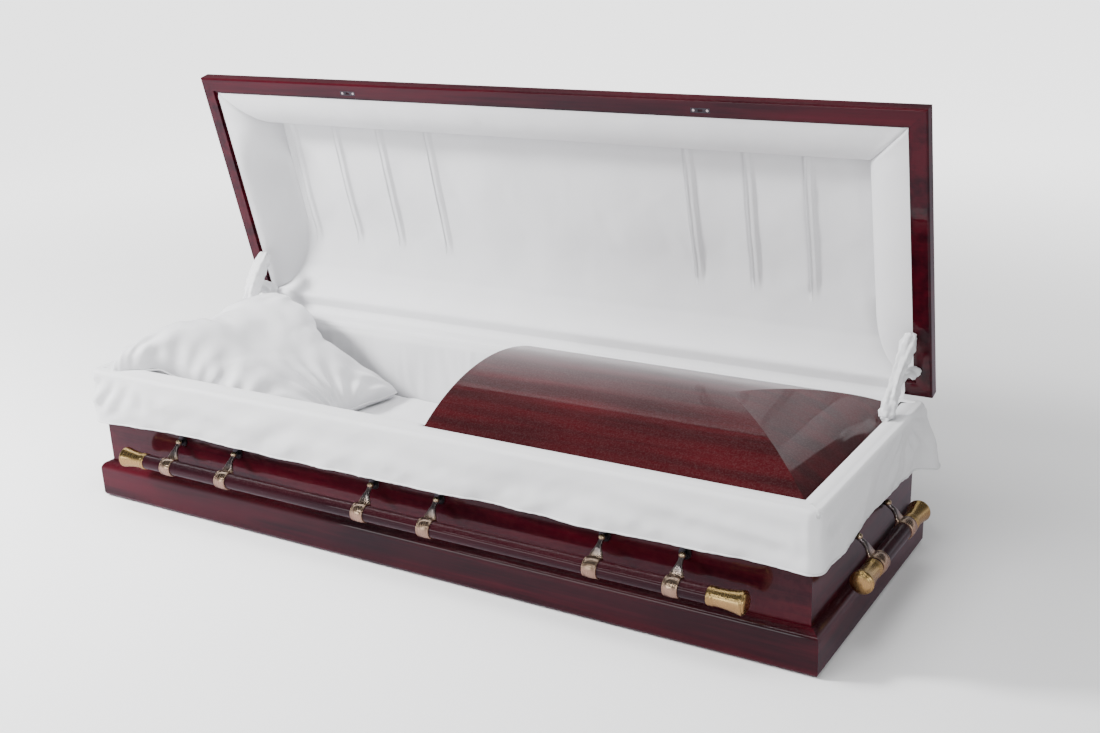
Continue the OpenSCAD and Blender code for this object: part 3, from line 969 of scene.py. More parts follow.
@dataclass
class Overlay:
    """The cloth skirt that lies on the rail and hangs down outside on three sides."""

    layout: Layout
    finishes: Finishes
    corner: float = 0.020
    wrap: float = 0.050
    inner: float = 0.0432
    deep: float = 0.0655
    step: float = 0.009
    lip_r: float = 0.0125
    lip_out: float = 0.0105
    lip_top: float = 0.0070
    lip_drop: float = 0.006
    back_margin: float = 0.022
    back_inner: float = 0.020
    hem_r: float = 0.0024

    def path(self) -> tuple[Points, Points, Points]:
        """Plan line along the rail's outer edge, from the back-left corner to the back-right one.

        Returns:
            Points on the line, outward directions and distances along it.
        """
        x, y, r = self.layout.rail_x, self.layout.rail_y, self.corner
        pts: list[tuple[float, float]] = []
        out: list[tuple[float, float]] = []

        def line(a: tuple[float, float], b: tuple[float, float], n: tuple[float, float]) -> None:
            """Adds a straight stretch.

            Args:
                a: start.
                b: end.
                n: outward direction.
            """
            count = max(2, int(math.dist(a, b) / self.step))
            for k in range(count):
                t = k / count
                pts.append((a[0] + (b[0] - a[0]) * t, a[1] + (b[1] - a[1]) * t))
                out.append(n)

        def turn(centre: tuple[float, float], start: float, end: float) -> None:
            """Adds a rounded corner.

            Args:
                centre: middle of the arc.
                start: first angle in degrees.
                end: last angle.
            """
            for k in range(10):
                a = math.radians(start + (end - start) * k / 10)
                pts.append((centre[0] + r * math.cos(a), centre[1] + r * math.sin(a)))
                out.append((math.cos(a), math.sin(a)))

        line((-x + r + self.wrap, y), (-x + r, y), (0, 1))
        turn((-x + r, y - r), 90, 180)
        line((-x, y - r), (-x, -y + r), (-1, 0))
        turn((-x + r, -y + r), 180, 270)
        line((-x + r, -y), (x - r, -y), (0, -1))
        turn((x - r, -y + r), 270, 360)
        line((x, -y + r), (x, y - r), (1, 0))
        turn((x - r, y - r), 0, 90)
        line((x - r, y), (x - r - self.wrap, y), (0, 1))
        p, o = np.array(pts), np.array(out)
        s = np.concatenate([[0], np.cumsum(np.linalg.norm(np.diff(p, axis=0), axis=1))])
        return p, o, s

    def rail_rows(self, p: Points) -> list[Points]:
        """Rows of the cloth that lies on the rail and turns over its outer edge.

        Args:
            p: plan line.

        Returns:
            For each row, distance out of the line and height at each point.
        """
        lay = self.layout
        x, y = lay.rail_x, lay.rail_y
        over_panel = smooth(p[:, 0], lay.panel_lo - 0.012, lay.panel_lo - 0.002)
        start = self.deep + (self.inner - self.deep) * over_panel
        start = np.where(p[:, 0] < -x + 0.04, self.deep, start)
        start = np.where(np.abs(p[:, 1]) > y - 0.001, start, np.where(p[:, 0] > 0, self.inner, self.deep))
        back = (p[:, 1] > y - self.back_margin).astype(float)
        start = start * (1 - back) + self.back_inner * back
        top = lay.rail_top
        profile: list[Points] = []
        zero = np.zeros(len(p))
        for k in range(8):
            t = k / 8
            off = -start + t * (start - 0.004)
            lift = 0.0012 + 0.0058 * np.sin(math.pi * min(1.0, (t * 0.62 + 0.18))) ** 1.5
            sag = (1 - over_panel) * (1 - smooth(np.array(t), 0.0, 0.22)) * 0.006 * (1 - back)
            profile.append(stacked(off, zero + top + lift - sag))
        r, out, high = self.lip_r, self.lip_out, self.lip_top
        for a in np.radians(np.linspace(80, 5, 7)):
            profile.append(stacked(zero + out - r + r * math.cos(a), zero + top + high - r + r * math.sin(a)))
        return profile

    def hanging_row(self, t: float, s: Points, corners: Sequence[float], waves: Sequence[Ripple]) -> Points:
        """One row of the cloth that hangs down outside.

        Args:
            t: share of the drop, 1 at the hem.
            s: distances along the plan line.
            corners: distances of the four corners.
            waves: folds, small folds, wave of the hem, and gathers.

        Returns:
            Distance out of the line and height at each point.
        """
        top, hem, y = self.layout.rail_top, self.layout.hem_z, self.layout.rail_y
        fold, small, hemwave, gather = waves
        zero = np.zeros_like(s)
        near = sum(bump(s, c, 0.075) for c in corners[1:])
        left = bump(s, corners[1], 0.15)
        right_back = bump(s, corners[3], 0.055)
        left_back = bump(s, corners[0], 0.055)
        arch = math.sin(math.pi * t)
        z = top - self.lip_drop - t * (top - self.lip_drop - hem) + t * 0.0030 * hemwave(s, zero)
        slant = s + 0.09 * t * np.sign(s - corners[1]) * left
        drape = zero + 0.30 * t
        wave = 0.0050 * fold(slant + 0.55 * drape, drape) * t**0.7
        wave = wave + 0.0010 * small(slant + 0.4 * drape, drape) * (0.3 + t)
        turn = 1.35 * t + 0.35 * fold(s * 0.6, zero + 0.2) + 0.1
        wave = wave + 0.0022 * np.sin(2 * math.pi * turn) * arch
        away = np.abs(s - corners[2])
        sweep = np.exp(-((away / 0.30) ** 2)) * smooth(away, 0.0, 0.05)
        turn = 1.9 * t + 1.3 * away + 0.15
        wave = wave + 0.0062 * sweep * np.sin(2 * math.pi * turn) * math.sin(math.pi * min(1.0, t * 1.1))
        from_tuft = s - (corners[2] + y + 0.192)
        ray = np.arctan2(t * 0.14 + 0.02, from_tuft)
        spread = np.hypot(from_tuft, t * 0.14)
        reach = np.exp(-((spread / 0.19) ** 2)) * smooth(spread, 0.0, 0.03)
        wave = wave + 0.0090 * (np.abs(np.sin(7.5 * ray + 0.8)) ** 0.7 - 0.5) * reach * (1 - 0.75 * t**3)
        foot_end = smooth(s, corners[2] + 0.10, corners[2] + 0.30)
        angle = 2 * math.pi * (s + 0.10 * t) / 0.150 + 1.5 * fold(s, zero)
        wave = wave + 0.0045 * foot_end * np.sin(angle) * math.sin(math.pi * min(1.0, t * 0.85))
        gathered = gather(slant, zero) * math.sin(math.pi * min(1.0, 0.1 + t * 0.9))
        wave = wave + near * 0.0020 * gathered * (1.2 - t)
        angle = (slant - corners[1]) * 2 * math.pi / 0.052 + 2.2 * t
        crease = 0.0062 * left * np.sin(angle) * math.sin(math.pi * min(t * 1.15, 1.0))
        belly = 0.0022 * arch - 0.0028 * t
        flare = (right_back * 0.034 + left_back * 0.016) * t**0.9 + 0.006 * near * t
        off = self.lip_out + belly + wave + crease + flare
        off = np.maximum(off, 0.0022 if z.max() > top - 0.026 else -0.002)
        return stacked(off, z - 0.02 * t**2 * right_back - 0.005 * t * left)

    def build(self) -> Obj:
        """Makes the skirt, its hem and its corner loop.

        Returns:
            The skirt.
        """
        lay = self.layout
        p, o, s = self.path()
        x, y = lay.rail_x, lay.rail_y
        corners = [
            s[int(np.argmin(np.linalg.norm(p - np.array(c), axis=1)))]
            for c in ((-x, y), (-x, -y), (x, -y), (x, y))
        ]
        gather = Ripple(14, 0.032, 0.015, 6, 1.0)
        waves = [
            Ripple(11, 0.85, 0.17, 12, 0.9), Ripple(12, 0.16, 0.05, 10, 0.7), Ripple(13, 1.1, 0.3, 8, 1.0),
            gather
        ]
        profile = self.rail_rows(p)
        for t in np.linspace(0, 1, 26)[1:]:
            profile.append(self.hanging_row(t, s, corners, waves))
        rows = np.stack(profile)
        pts = stacked(
            p[None, :, 0] + rows[..., 0] * o[None, :, 0], p[None, :, 1] + rows[..., 0] * o[None, :, 1],
            rows[..., 1]
        )
        cloth = grid_object("overlay_skirt", pts, self.finishes.skirt)
        hem_line = pts[-1]
        cord = np.full(len(hem_line), self.hem_r) + 0.0004 * gather(s, np.zeros_like(s))
        rolled = tube_object("overlay_hem", hem_line, cord, 8, self.finishes.skirt)
        dress(cloth, Body.CASKET.value, Slot.SKIRT, "front_skirt", "head_skirt", "foot_skirt")
        dress(rolled, Body.CASKET.value, Slot.SKIRT)
        seam = self.corner_seam(o, s, corners[2], pts)
        return cloth

    def corner_seam(self, o: Points, s: Points, where: float, pts: Points) -> Obj:
        """Makes the small looped seam at the front foot corner.

        Args:
            o: outward directions.
            s: distances along the line.
            where: distance of the corner.
            pts: the skirt's points.

        Returns:
            The seam.
        """
        k = int(np.argmin(np.abs(s - where)))
        outward = np.array([o[k, 0], o[k, 1], 0])
        line = pts[2:15, k] + outward * 0.0012 + np.array([0, 0, 0.0008])
        a = np.linspace(0, 2 * math.pi, 16)
        centre = pts[13, k]
        side = np.array([-o[k, 1], o[k, 0], 0.0])
        loop = centre + 0.007 * np.cos(a)[:, None] * side + 0.009 * np.sin(a)[:, None] * np.array([0, 0, 1.0])
        loop = loop + 0.0022 * outward
        under_lid = self.layout.hinge[1] - 0.0016
        line[:, 2], loop[:, 2] = np.minimum(line[:, 2], under_lid), np.minimum(loop[:, 2], under_lid)
        one = grid_object(
            "seam_a", tube_points(line, np.full(len(line), 0.0011), 6, (1, 0, 0)), self.finishes.skirt,
            wrap_cols=True
        )
        two = grid_object(
            "seam_b", tube_points(loop, np.full(len(loop), 0.0010), 6, tuple(o[k]) + (0.0,)),
            self.finishes.skirt, wrap_cols=True
        )
        return dress(joined("overlay_corner_seam", [one, two]), Body.CASKET.value, Slot.SKIRT)


@dataclass
class Interior:
    """Gathered lining inside the walls, and the bed."""

    layout: Layout
    finishes: Finishes
    low: float = 0.150
    bed_r: float = 0.030
    corner_lap: float = 0.004
    bed_gap: float = 0.0045
    rail_lap: float = 0.0590

    def wall_cloth(self, side: Side) -> Obj:
        """Makes the cloth inside one wall.

        Args:
            side: which wall.

        Returns:
            The cloth.
        """
        lay = self.layout
        long_side = side in (Side.FRONT, Side.BACK)
        half = (lay.bed_x if long_side else lay.bed_y) + self.corner_lap
        face = (lay.bed_y if long_side else lay.bed_x) + self.bed_gap
        edge = (lay.rail_y if long_side else lay.rail_x) - self.rail_lap
        u = spaced(-half, half, 0.0075)
        v = np.linspace(0, 1, 30)
        seed = {Side.FRONT: 21, Side.BACK: 22, Side.HEAD: 23, Side.FOOT: 24}[side]
        gathers, folds = Ripple(seed, 0.075, 0.028, 12, 0.93), Ripple(seed + 40, 0.5, 0.14, 9, 0.6)
        uu, vv = np.meshgrid(u, v, indexing="ij")
        z = lay.rail_top - 0.0012 - vv * (lay.rail_top - self.low)
        belly = np.sin(math.pi * np.clip(vv * 1.05, 0, 1)) ** 0.7
        depth = face + (edge - face) * (1 - smooth(vv, 0.0, 0.10)) - 0.0035 * belly
        depth = depth + (0.0012 * gathers(uu, vv * 0.22) + 0.0034 * folds(uu, vv * 0.2)) * belly
        depth = np.minimum(depth, edge + 0.0006)
        pts = {
            Side.FRONT: (uu, -depth, z),
            Side.BACK: (-uu, depth, z),
            Side.FOOT: (depth, uu, z),
            Side.HEAD: (-depth, -uu, z),
        }[side]
        cloth = grid_object(f"{side.value}_wall_cloth", stacked(*pts), self.finishes.satin)
        dress(cloth, Body.CASKET.value, Slot.SATIN, f"{side.value}_lining")
        return cloth

    def bed(self) -> Obj:
        """Makes the padded bed with rounded edges and soft creases.

        Returns:
            The bed.
        """
        lay, r = self.layout, self.bed_r
        hx, hy, top, low = lay.bed_x, lay.bed_y, lay.bed_top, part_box("mattress")[0].z

        def profile(half: float, count: int) -> list[tuple[float, float]]:
            """Outline across the bed.

            Args:
                half: half its width.
                count: samples across the flat top.

            Returns:
                Places across and heights.
            """
            side = [(-half, low + (top - r - low) * t) for t in (0.0, 0.35, 0.7, 0.9)]
            arc = [
                (-half + r - r * math.cos(math.radians(a)), top - r + r * math.sin(math.radians(a)))
                for a in np.linspace(0, 90, 7)
            ]
            flat = [(v, top) for v in np.linspace(-half + r, half - r, count)[1:-1]]
            return (
                side + arc + flat + [(-q, h) for q, h in reversed(arc)]
                + [(-q, h) for q, h in reversed(side)]
            )

        across = np.array(profile(hy, 44))
        xs = spaced(-hx, hx, 0.012, (-hx, hx), (0.002, 0.006, 0.014, -0.002, -0.006, -0.014))
        soft, crease = Ripple(31, 0.6, 0.12, 12), Ripple(32, 0.16, 0.05, 12, 0.3)
        xx = np.repeat(xs[:, None], len(across), 1)
        yy = np.repeat(across[None, :, 0], len(xs), 0)
        zz = np.repeat(across[None, :, 1], len(xs), 0)
        end = np.clip((hx - np.abs(xx)) / r, 0, 1)
        fall = r * (1 - np.sqrt(1 - (1 - end) ** 2))
        zz = np.maximum(zz - fall * (zz > low + 0.06), low)
        on_top = smooth(zz, top - 0.012, top - 0.002)
        near_edge = np.exp(-((hy - np.abs(yy)) / 0.06)) + np.exp(-((hx - np.abs(xx)) / 0.06))
        lift = 0.0016 * soft(xx, yy) + (0.0007 + 0.0022 * near_edge) * crease(xx, yy)
        zz = zz + on_top * (np.minimum(lift, 0.0028) - 0.0030)
        bed = grid_object("bed_pad", stacked(xx, yy, zz), self.finishes.satin)
        dress(bed, Body.CASKET.value, Slot.SATIN, "mattress")
        return bed

    def build(self) -> None:
        """Makes every piece."""
        for side in Side:
            self.wall_cloth(side)
        self.bed()


@dataclass
class HingeDrape:
    """Cloth that bridges the hinge line from the body's back rail to the lid's cove."""

    layout: Layout
    finishes: Finishes
    end_gap: float = 0.048
    bed_gap: float = 0.006
    rail_lap: float = 0.058

    def build(self) -> Obj:
        """Makes the cloth.

        Returns:
            The cloth, bent between casket and lid.
        """
        lay = self.layout
        hy, hz = lay.hinge
        xs = spaced(-lay.rail_x + self.end_gap, lay.rail_x - self.end_gap, 0.010)
        inner = lay.bed_y + self.bed_gap
        rail_edge = lay.rail_y - self.rail_lap
        body = [
            (inner + 0.001, lay.rail_top - 0.016), (inner + 0.002, lay.rail_top - 0.008),
            (rail_edge + 0.0005, lay.rail_top + 0.0008), (rail_edge + 0.008, lay.rail_top + 0.0026)
        ]
        body += [
            (rail_edge + 0.008 + t * (lay.rail_y - 0.008 - rail_edge), lay.rail_top + 0.0030)
            for t in (0.25, 0.5, 0.75, 0.93)
        ]
        shut = (
            [(hy - t, hz - 0.0026) for t in (0.0125, 0.016, 0.022, 0.030, 0.038)]
            + [(hy - 0.0452, hz + 0.001), (hy - 0.047, hz + 0.0085), (hy - 0.0475, hz + 0.013)]
        )
        turned = lay.opened(np.array([(0.0, a, b) for a, b in shut]))[:, 1:]
        line = np.concatenate([np.array(body), turned])
        wob, pucker = Ripple(51, 0.5, 0.12, 8, 1.0), Ripple(52, 0.05, 0.02, 8, 1.0)
        xx = np.repeat(xs[:, None], len(line), 1)
        amount = np.ones(len(line))
        amount[:3] = 0.0
        amount[-3:] = 0.2
        shift = (0.0006 * wob(xx, 0) + 0.0004 * pucker(xx, 0)) * amount
        yy = line[None, :, 0] + shift * -0.6
        zz = line[None, :, 1] + np.abs(shift) * 0.8
        pressed = (xx > lay.panel_lo - 0.004) & (yy < lay.panel_y + 0.006)
        zz = np.where(pressed, np.minimum(zz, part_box("foot_panel")[0].z - 0.0004), zz)
        cloth = grid_object("hinge_cloth", stacked(xx, yy, zz), self.finishes.satin)
        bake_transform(cloth)
        dress(cloth, "", Slot.SATIN)
        return cloth


# ------------------------------------------------------------------ pillow


@dataclass
class Pillow:
    """Large stuffed pillow: its head edge on the head rail, its foot edge low on the bed."""

    layout: Layout
    finishes: Finishes
    length: float = 0.600
    width: float = 0.560
    cell: float = 0.0095
    above: float = 0.088
    below: float = 0.075
    piping_r: float = 0.0026
    edge_rise: float = 0.014
    bed_gap: float = 0.002
    rail_gap: float = 0.0045
    # the middle line from head to foot: share of the length from -1 to 1, then X and Z
    course: tuple[tuple[float, float, float], ...] = (
        (-1.0, -1.000, 0.383), (-0.82, -0.950, 0.384), (-0.5, -0.866, 0.370), (-0.15, -0.765, 0.322),
        (0.3, -0.640, 0.262), (0.7, -0.540, 0.220), (1.0, -0.468, 0.199),
    )
    # fans of folds: X and Y that they spread from, reach, number of folds, depth and phase
    fans: tuple[tuple[float, ...], ...] = (
        (-0.95, -0.38, 0.20, 17, 0.0095, 1.0), (-0.76, -0.38, 0.17, 21, 0.0075, 2.1),
        (-0.60, -0.31, 0.16, 19, 0.0085, 3.3), (-0.46, 0.02, 0.14, 17, 0.0085, 1.7),
        (-0.46, 0.26, 0.16, 12, 0.0070, 0.4), (-0.86, 0.27, 0.14, 11, 0.0060, 5.0),
    )

    def flat_shell(self) -> tuple[Points, list[list[int]], int, int]:
        """Two flat sheets joined at their rim, as the pillow is cut.

        Returns:
            Points, faces, and the number of rows and columns of one sheet.
        """
        m, n = int(self.length / self.cell) + 1, int(self.width / self.cell) + 1
        u, v = np.meshgrid(np.linspace(-1, 1, m), np.linspace(-1, 1, n), indexing="ij")
        rise = self.edge_rise * (1 - u**4) * (1 - v**4)
        x, y = u * self.length / 2, v * self.width / 2
        top = stacked(x, y, rise).reshape(-1, 3)
        faces = [f[::-1] for f in grid_faces(m, n)]
        inner = -np.ones((m, n), int)
        verts = list(top)
        for i in range(m):
            for j in range(n):
                if i in (0, m - 1) or j in (0, n - 1):
                    inner[i, j] = i * n + j
                else:
                    inner[i, j] = len(verts)
                    verts.append(np.array([x[i, j], y[i, j], -rise[i, j]]))
        for i in range(m - 1):
            for j in range(n - 1):
                faces.append([inner[i, j], inner[i + 1, j], inner[i + 1, j + 1], inner[i, j + 1]])
        return np.array(verts), faces, m, n

    def inflate(self, obj: Obj, frames: int = 24) -> None:
        """Blows the shell up with the cloth solver and keeps the result.

        Args:
            obj: the flat shell.
            frames: how many frames to run.
        """
        mod = obj.modifiers.new("stuffing", "CLOTH")
        cfg = mod.settings
        cfg.quality = 6
        cfg.mass = 0.25
        cfg.tension_stiffness = cfg.compression_stiffness = 12
        cfg.shear_stiffness = 4
        cfg.bending_stiffness = 0.6
        cfg.use_pressure = True
        cfg.uniform_pressure_force = 9.0
        cfg.effector_weights.gravity = 0.0
        cfg.air_damping = 2.0
        mod.collision_settings.use_collision = False
        mod.point_cache.frame_start, mod.point_cache.frame_end = 1, frames
        scene = bpy.context.scene
        for k in range(1, frames + 1):
            scene.frame_set(k)
        apply_modifiers(obj)
        scene.frame_set(1)

    def eased(self, values: Points, span: int = 13) -> Points:
        """Running mean of values, with their ends repeated."""
        return np.convolve(np.pad(values, span // 2, "edge"), np.ones(span) / span, "valid")

    def place(self, q: Points, cut: Points) -> Points:
        """Bends the puffed pillow down from the head rail to the bed.

        Args:
            q: points of the puffed pillow about its own middle.
            cut: the same points before it was puffed.

        Returns:
            Points in the casket.
        """
        half_l, half_w = np.abs(q[:, 0]).max(), np.abs(q[:, 1]).max()
        half_t = np.abs(q[:, 2]).max()
        cu, cv = np.abs(cut[:, 0]) / (self.length / 2), np.abs(cut[:, 1]) / (self.width / 2)
        u = 0.45 * q[:, 0] / half_l + 0.55 * cut[:, 0] / (self.length / 2)
        v = 0.45 * q[:, 1] / half_w + 0.55 * cut[:, 1] / (self.width / 2)
        w = q[:, 2] / half_t
        full = (np.clip(1 - cu**4, 0, 1) * np.clip(1 - cv**4, 0, 1)) ** 0.42
        course = np.array(self.course)
        places = np.linspace(-1, 1, 81)
        xs, zs = (self.eased(np.interp(places, course[:, 0], course[:, k])) for k in (1, 2))
        x, z = np.interp(u, places, xs), np.interp(u, places, zs)
        tilt = np.interp(u, places, np.arctan2(np.gradient(zs), np.gradient(xs)))
        plump = 0.62 * full + 0.38 * np.abs(w) ** 0.75
        head_end = 0.12 * smooth(-u, 0.0, 0.6) + 0.34 * smooth(-u, 0.2, 0.8) * smooth(-v, 0.0, 0.6)
        up_t = self.above * (1 + head_end - 0.22 * smooth(u, 0.1, 0.9))
        t = np.where(w > 0, plump * up_t, -plump * self.below)
        y = -0.018 + v * (0.262 - 0.004 * u)
        x = x - np.sin(tilt) * t
        z = z + np.cos(tilt) * t
        head_front = smooth(-u, 0.35, 1.0) * smooth(-v, 0.25, 1.0)
        y = y - 0.062 * head_front
        z = z - 0.010 * head_front * (w > 0) * plump
        leaning = bump(u, -0.30, 0.62) * smooth(v, 0.1, 1.0)
        x, z = x + 0.034 * leaning, z + 0.036 * leaning
        y = y + 0.030 * smooth(-u, -0.2, 0.6) * smooth(v, 0.2, 1.0)
        z = z + 0.010 * smooth(-u, 0.1, 0.7) * (1 - smooth(-u, 0.9, 1.0)) * (w > 0) * plump
        corner = smooth(u, 0.5, 1.0) * smooth(v, 0.5, 1.0)
        x, y = x + 0.012 * corner, y + 0.006 * corner
        return stacked(x, y, z)

    def keep_out(self, pts: Points) -> Points:
        """Holds the pillow off the bed, the rail and the lining.

        Args:
            pts: points in the casket.

        Returns:
            Corrected points.
        """
        lay = self.layout
        x, y, z = pts[:, 0], pts[:, 1], pts[:, 2]
        z = np.maximum(z, lay.bed_top + self.bed_gap)
        side = (y < -lay.bed_y + 0.010) & (z < lay.rail_top - 0.035) & (x > -lay.bed_x + 0.05)
        y = np.where(side, -lay.bed_y + 0.010, y)
        on_rail = (x < -lay.bed_x + 0.008) | (y < -lay.bed_y + 0.0099)
        z = np.where(on_rail, np.maximum(z, lay.rail_top + self.rail_gap), z)
        y = np.minimum(y, lay.bed_y - 0.004)
        x = np.maximum(x, -1.006)
        return stacked(x, y, z)

    def creases(self, pts: Points, normals: Points, tame: Points) -> Points:
        """Adds the pillow's folds: fans at the front and at the foot corner.

        Args:
            pts: points in the casket.
            normals: directions out of the cloth.
            tame: share of the folds that each point gets, 0 at the seam.

        Returns:
            Moved points.
        """
        x, y = pts[:, 0], pts[:, 1]
        out = np.zeros(len(pts))
        for cx, cy, reach, count, size, seed in self.fans:
            dx, dy = x - cx, y - cy
            d, a = np.hypot(dx, dy), np.arctan2(dy, dx)
            fan = np.sin(a * count + 1.4 * np.sin(a * 3.1 + seed) + seed + 2.5 * d / reach)
            out += (
                size * np.sign(fan) * np.abs(fan) ** 0.8 * np.exp(-((d / reach) ** 2)) * smooth(d, 0.0, 0.05)
            )
        broad = Ripple(61, 0.45, 0.10, 14)
        out += 0.0052 * broad(x, y) + 0.0017 * Ripple(62, 0.15, 0.05, 14)(x, y)
        out -= 0.0110 * bump(y - 0.45 * (x + 0.95), 0.03, 0.020) * smooth(-x, 0.82, 0.93)
        return pts + normals * (out * tame)[:, None]

    def build(self) -> Obj:
        """Makes the pillow and its piping.

        Returns:
            The pillow.
        """
        verts, faces, m, n = self.flat_shell()
        obj = mesh_object("head_pillow", verts, faces, self.finishes.pillow)
        self.inflate(obj)
        puffed = np.array([v.co for v in obj.data.vertices], float)
        pts = self.place(puffed, verts)
        obj.data.vertices.foreach_set("co", pts.ravel())
        obj.data.update()
        normals = np.array([v.normal for v in obj.data.vertices], float)
        rim_u, rim_v = np.abs(verts[:, 0]) / (self.length / 2), np.abs(verts[:, 1]) / (self.width / 2)
        tame = smooth(1 - np.maximum(rim_u, rim_v), 0.0, 0.10) * 0.85 + 0.15
        pts = self.keep_out(self.creases(pts, normals, tame))
        at_seam = (np.maximum(rim_u, rim_v) > 0.999) & (pts[:, 1] < -self.layout.bed_y + 0.0099)
        pts[at_seam, 2] = self.layout.rail_top + 0.0048
        obj.data.vertices.foreach_set("co", pts.ravel())
        obj.data.update()
        sub = obj.modifiers.new("soft", "SUBSURF")
        sub.levels = sub.render_levels = 1
        apply_modifiers(obj)
        rim = (
            [i * n for i in range(m)] + [(m - 1) * n + j for j in range(1, n)]
            + [i * n + n - 1 for i in range(m - 2, -1, -1)] + [j for j in range(n - 2, 0, -1)]
        )
        line = pts[rim]
        line = (line + np.roll(line, 1, 0) + np.roll(line, -1, 0)) / 3
        closed = np.concatenate([line, line[:1]])
        piping = tube_object(
            "pillow_piping", closed, np.full(len(closed), self.piping_r), 8, self.finishes.pillow
        )
        dress(obj, Body.CASKET.value, Slot.PILLOW, "pillow")
        dress(piping, Body.CASKET.value, Slot.PILLOW)
        for piece in (obj, piping):
            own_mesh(piece)
        return obj


# ------------------------------------------------------------------ cloth of the lid


@dataclass
class LidCloth:
    """Padded roll, pleated ceiling and cove of the lid, drawn shut and turned open."""

    layout: Layout
    finishes: Finishes
    start: float = 0.0458
    roll: float = 0.1190
    roll_low: float = 0.0065
    roll_deep: float = 0.1050
    ceiling: float = 0.1135
    cove: float = 0.2140
    pleats: tuple[float, ...] = (-0.876, -0.716, -0.559, -0.391, 0.412, 0.573, 0.730)
    cove_low: float = 0.008
    narrows: float = 0.235
    mitre_y: float = 0.158
    flange: float = 0.007

    def roll_height(self, inset: Points) -> Points:
        """Depth of the roll's face behind the seam plane."""
        k = np.clip((inset - self.start) / self.roll, 0, 1)
        return self.roll_low + self.roll_deep * (1 - np.sqrt(np.clip(1 - k**2.15, 0, 1)))

    def cove_depth(self, inset: Points) -> Points:
        """Depth of the cove behind the seam plane."""
        k = np.clip((inset - self.start) / self.cove, 0, 1)
        return self.cove_low + (self.ceiling - self.cove_low) * np.sqrt(1 - (1 - k) ** 2)

    def roll_width(self, from_hinge: Points) -> Points:
        """Width of the end rolls, which narrow in a curve towards the hinge."""
        k = np.clip((self.narrows - from_hinge) / (self.narrows - self.start), 0, 1)
        return self.roll * np.sqrt(1 - k**2)

    def roll_piece(self, side: Side) -> Obj:
        """Makes the roll along one side, mitred at its ends.

        Args:
            side: which side.

        Returns:
            The roll.
        """
        lay = self.layout
        lid_y, hz = lay.hinge
        length = 2 * lay.lid_x if side is Side.FRONT else 2 * lid_y
        s = spaced(
            self.start + 0.0006, length - self.start - 0.0006, 0.011, (0.165, length - 0.165),
            (-0.004, 0.0, 0.004)
        )
        from_end = np.minimum(s, length - s)
        widest = np.minimum(self.start + self.roll, from_end - 0.0004)
        if side is not Side.FRONT:
            widest = np.where(s < length / 2, self.start + self.roll_width(s) + 0.0004, widest)
        phi = np.linspace(0, math.pi / 2, 20)
        inset = self.start + (widest - self.start)[:, None] * np.sin(phi)[None, :]
        depth = self.roll_height(inset)
        seed = {Side.FRONT: 71, Side.HEAD: 72, Side.FOOT: 73}[side]
        soft, pucker = Ripple(seed, 0.5, 0.12, 10), Ripple(seed + 9, 0.09, 0.03, 10, 0.8)
        ss = np.repeat(s[:, None], len(phi), 1)
        body = np.sin(np.pi * np.clip((inset - self.start) / self.roll, 0, 1)) ** 0.6
        if side is Side.HEAD:
            k = np.clip((inset - self.start) / self.roll, 0, 1)
            easy = self.roll_low + self.roll_deep * k * k * (3 - 2 * k)
            depth = depth + (easy - depth) * smooth(length - s, 0.165, 0.32)[:, None]
        if side is not Side.FRONT:
            depth = np.minimum(depth, self.cove_depth(s)[:, None] - 0.0005)
        depth = depth + body * (0.0015 + 0.0012 * soft(ss, inset) + 0.0004 * pucker(ss, inset))
        mitre = np.minimum(ss, length - ss) - inset
        ends = np.ones_like(ss) if side is Side.FRONT else (ss > length / 2).astype(float)
        depth = depth + 0.0032 * np.exp(-((mitre / 0.0035) ** 2)) * ends
        depth = depth - 0.0010 * bump(mitre, 0.012, 0.008) * ends
        last = depth[:, -1:]
        inset = np.concatenate([inset, widest[:, None] + 0.0006, widest[:, None] + 0.0008], 1)
        depth = np.concatenate([depth, last + 0.6 * self.flange, last + self.flange], 1)
        ss = np.repeat(s[:, None], inset.shape[1], 1)
        z = hz + depth
        if side is Side.FRONT:
            pts = stacked(ss - lay.lid_x, -lid_y + inset, z)[:, ::-1]
        elif side is Side.FOOT:
            pts = stacked(lay.lid_x - inset, lid_y - ss, z)[:, ::-1]
        else:
            pts = stacked(-lay.lid_x + inset, lid_y - ss, z)
        obj = grid_object(f"lid_{side.value}_roll_cloth", lay.opened(pts), self.finishes.lid_cloth)
        dress(obj, Body.LID.value, Slot.LID_CLOTH, f"lid_{side.value}_roll")
        return obj

    def pleat(self, dx: Points) -> Points:
        """Height of one stitched pleat across its line.

        Args:
            dx: distance from the stitch line, positive on the side that it is pressed to.

        Returns:
            Height from 0 to 1, negative in the stitch groove.
        """
        ridge = smooth(dx, 0.0, 0.0014) * np.exp(-(np.maximum(dx - 0.002, 0) / 0.0060) ** 2)
        band = 0.62 * smooth(dx, 0.0, 0.0014) * (1 - smooth(dx, 0.017, 0.026))
        groove = -1.0 * np.exp(-((dx / 0.0017) ** 2))
        return np.maximum(ridge, band) + groove

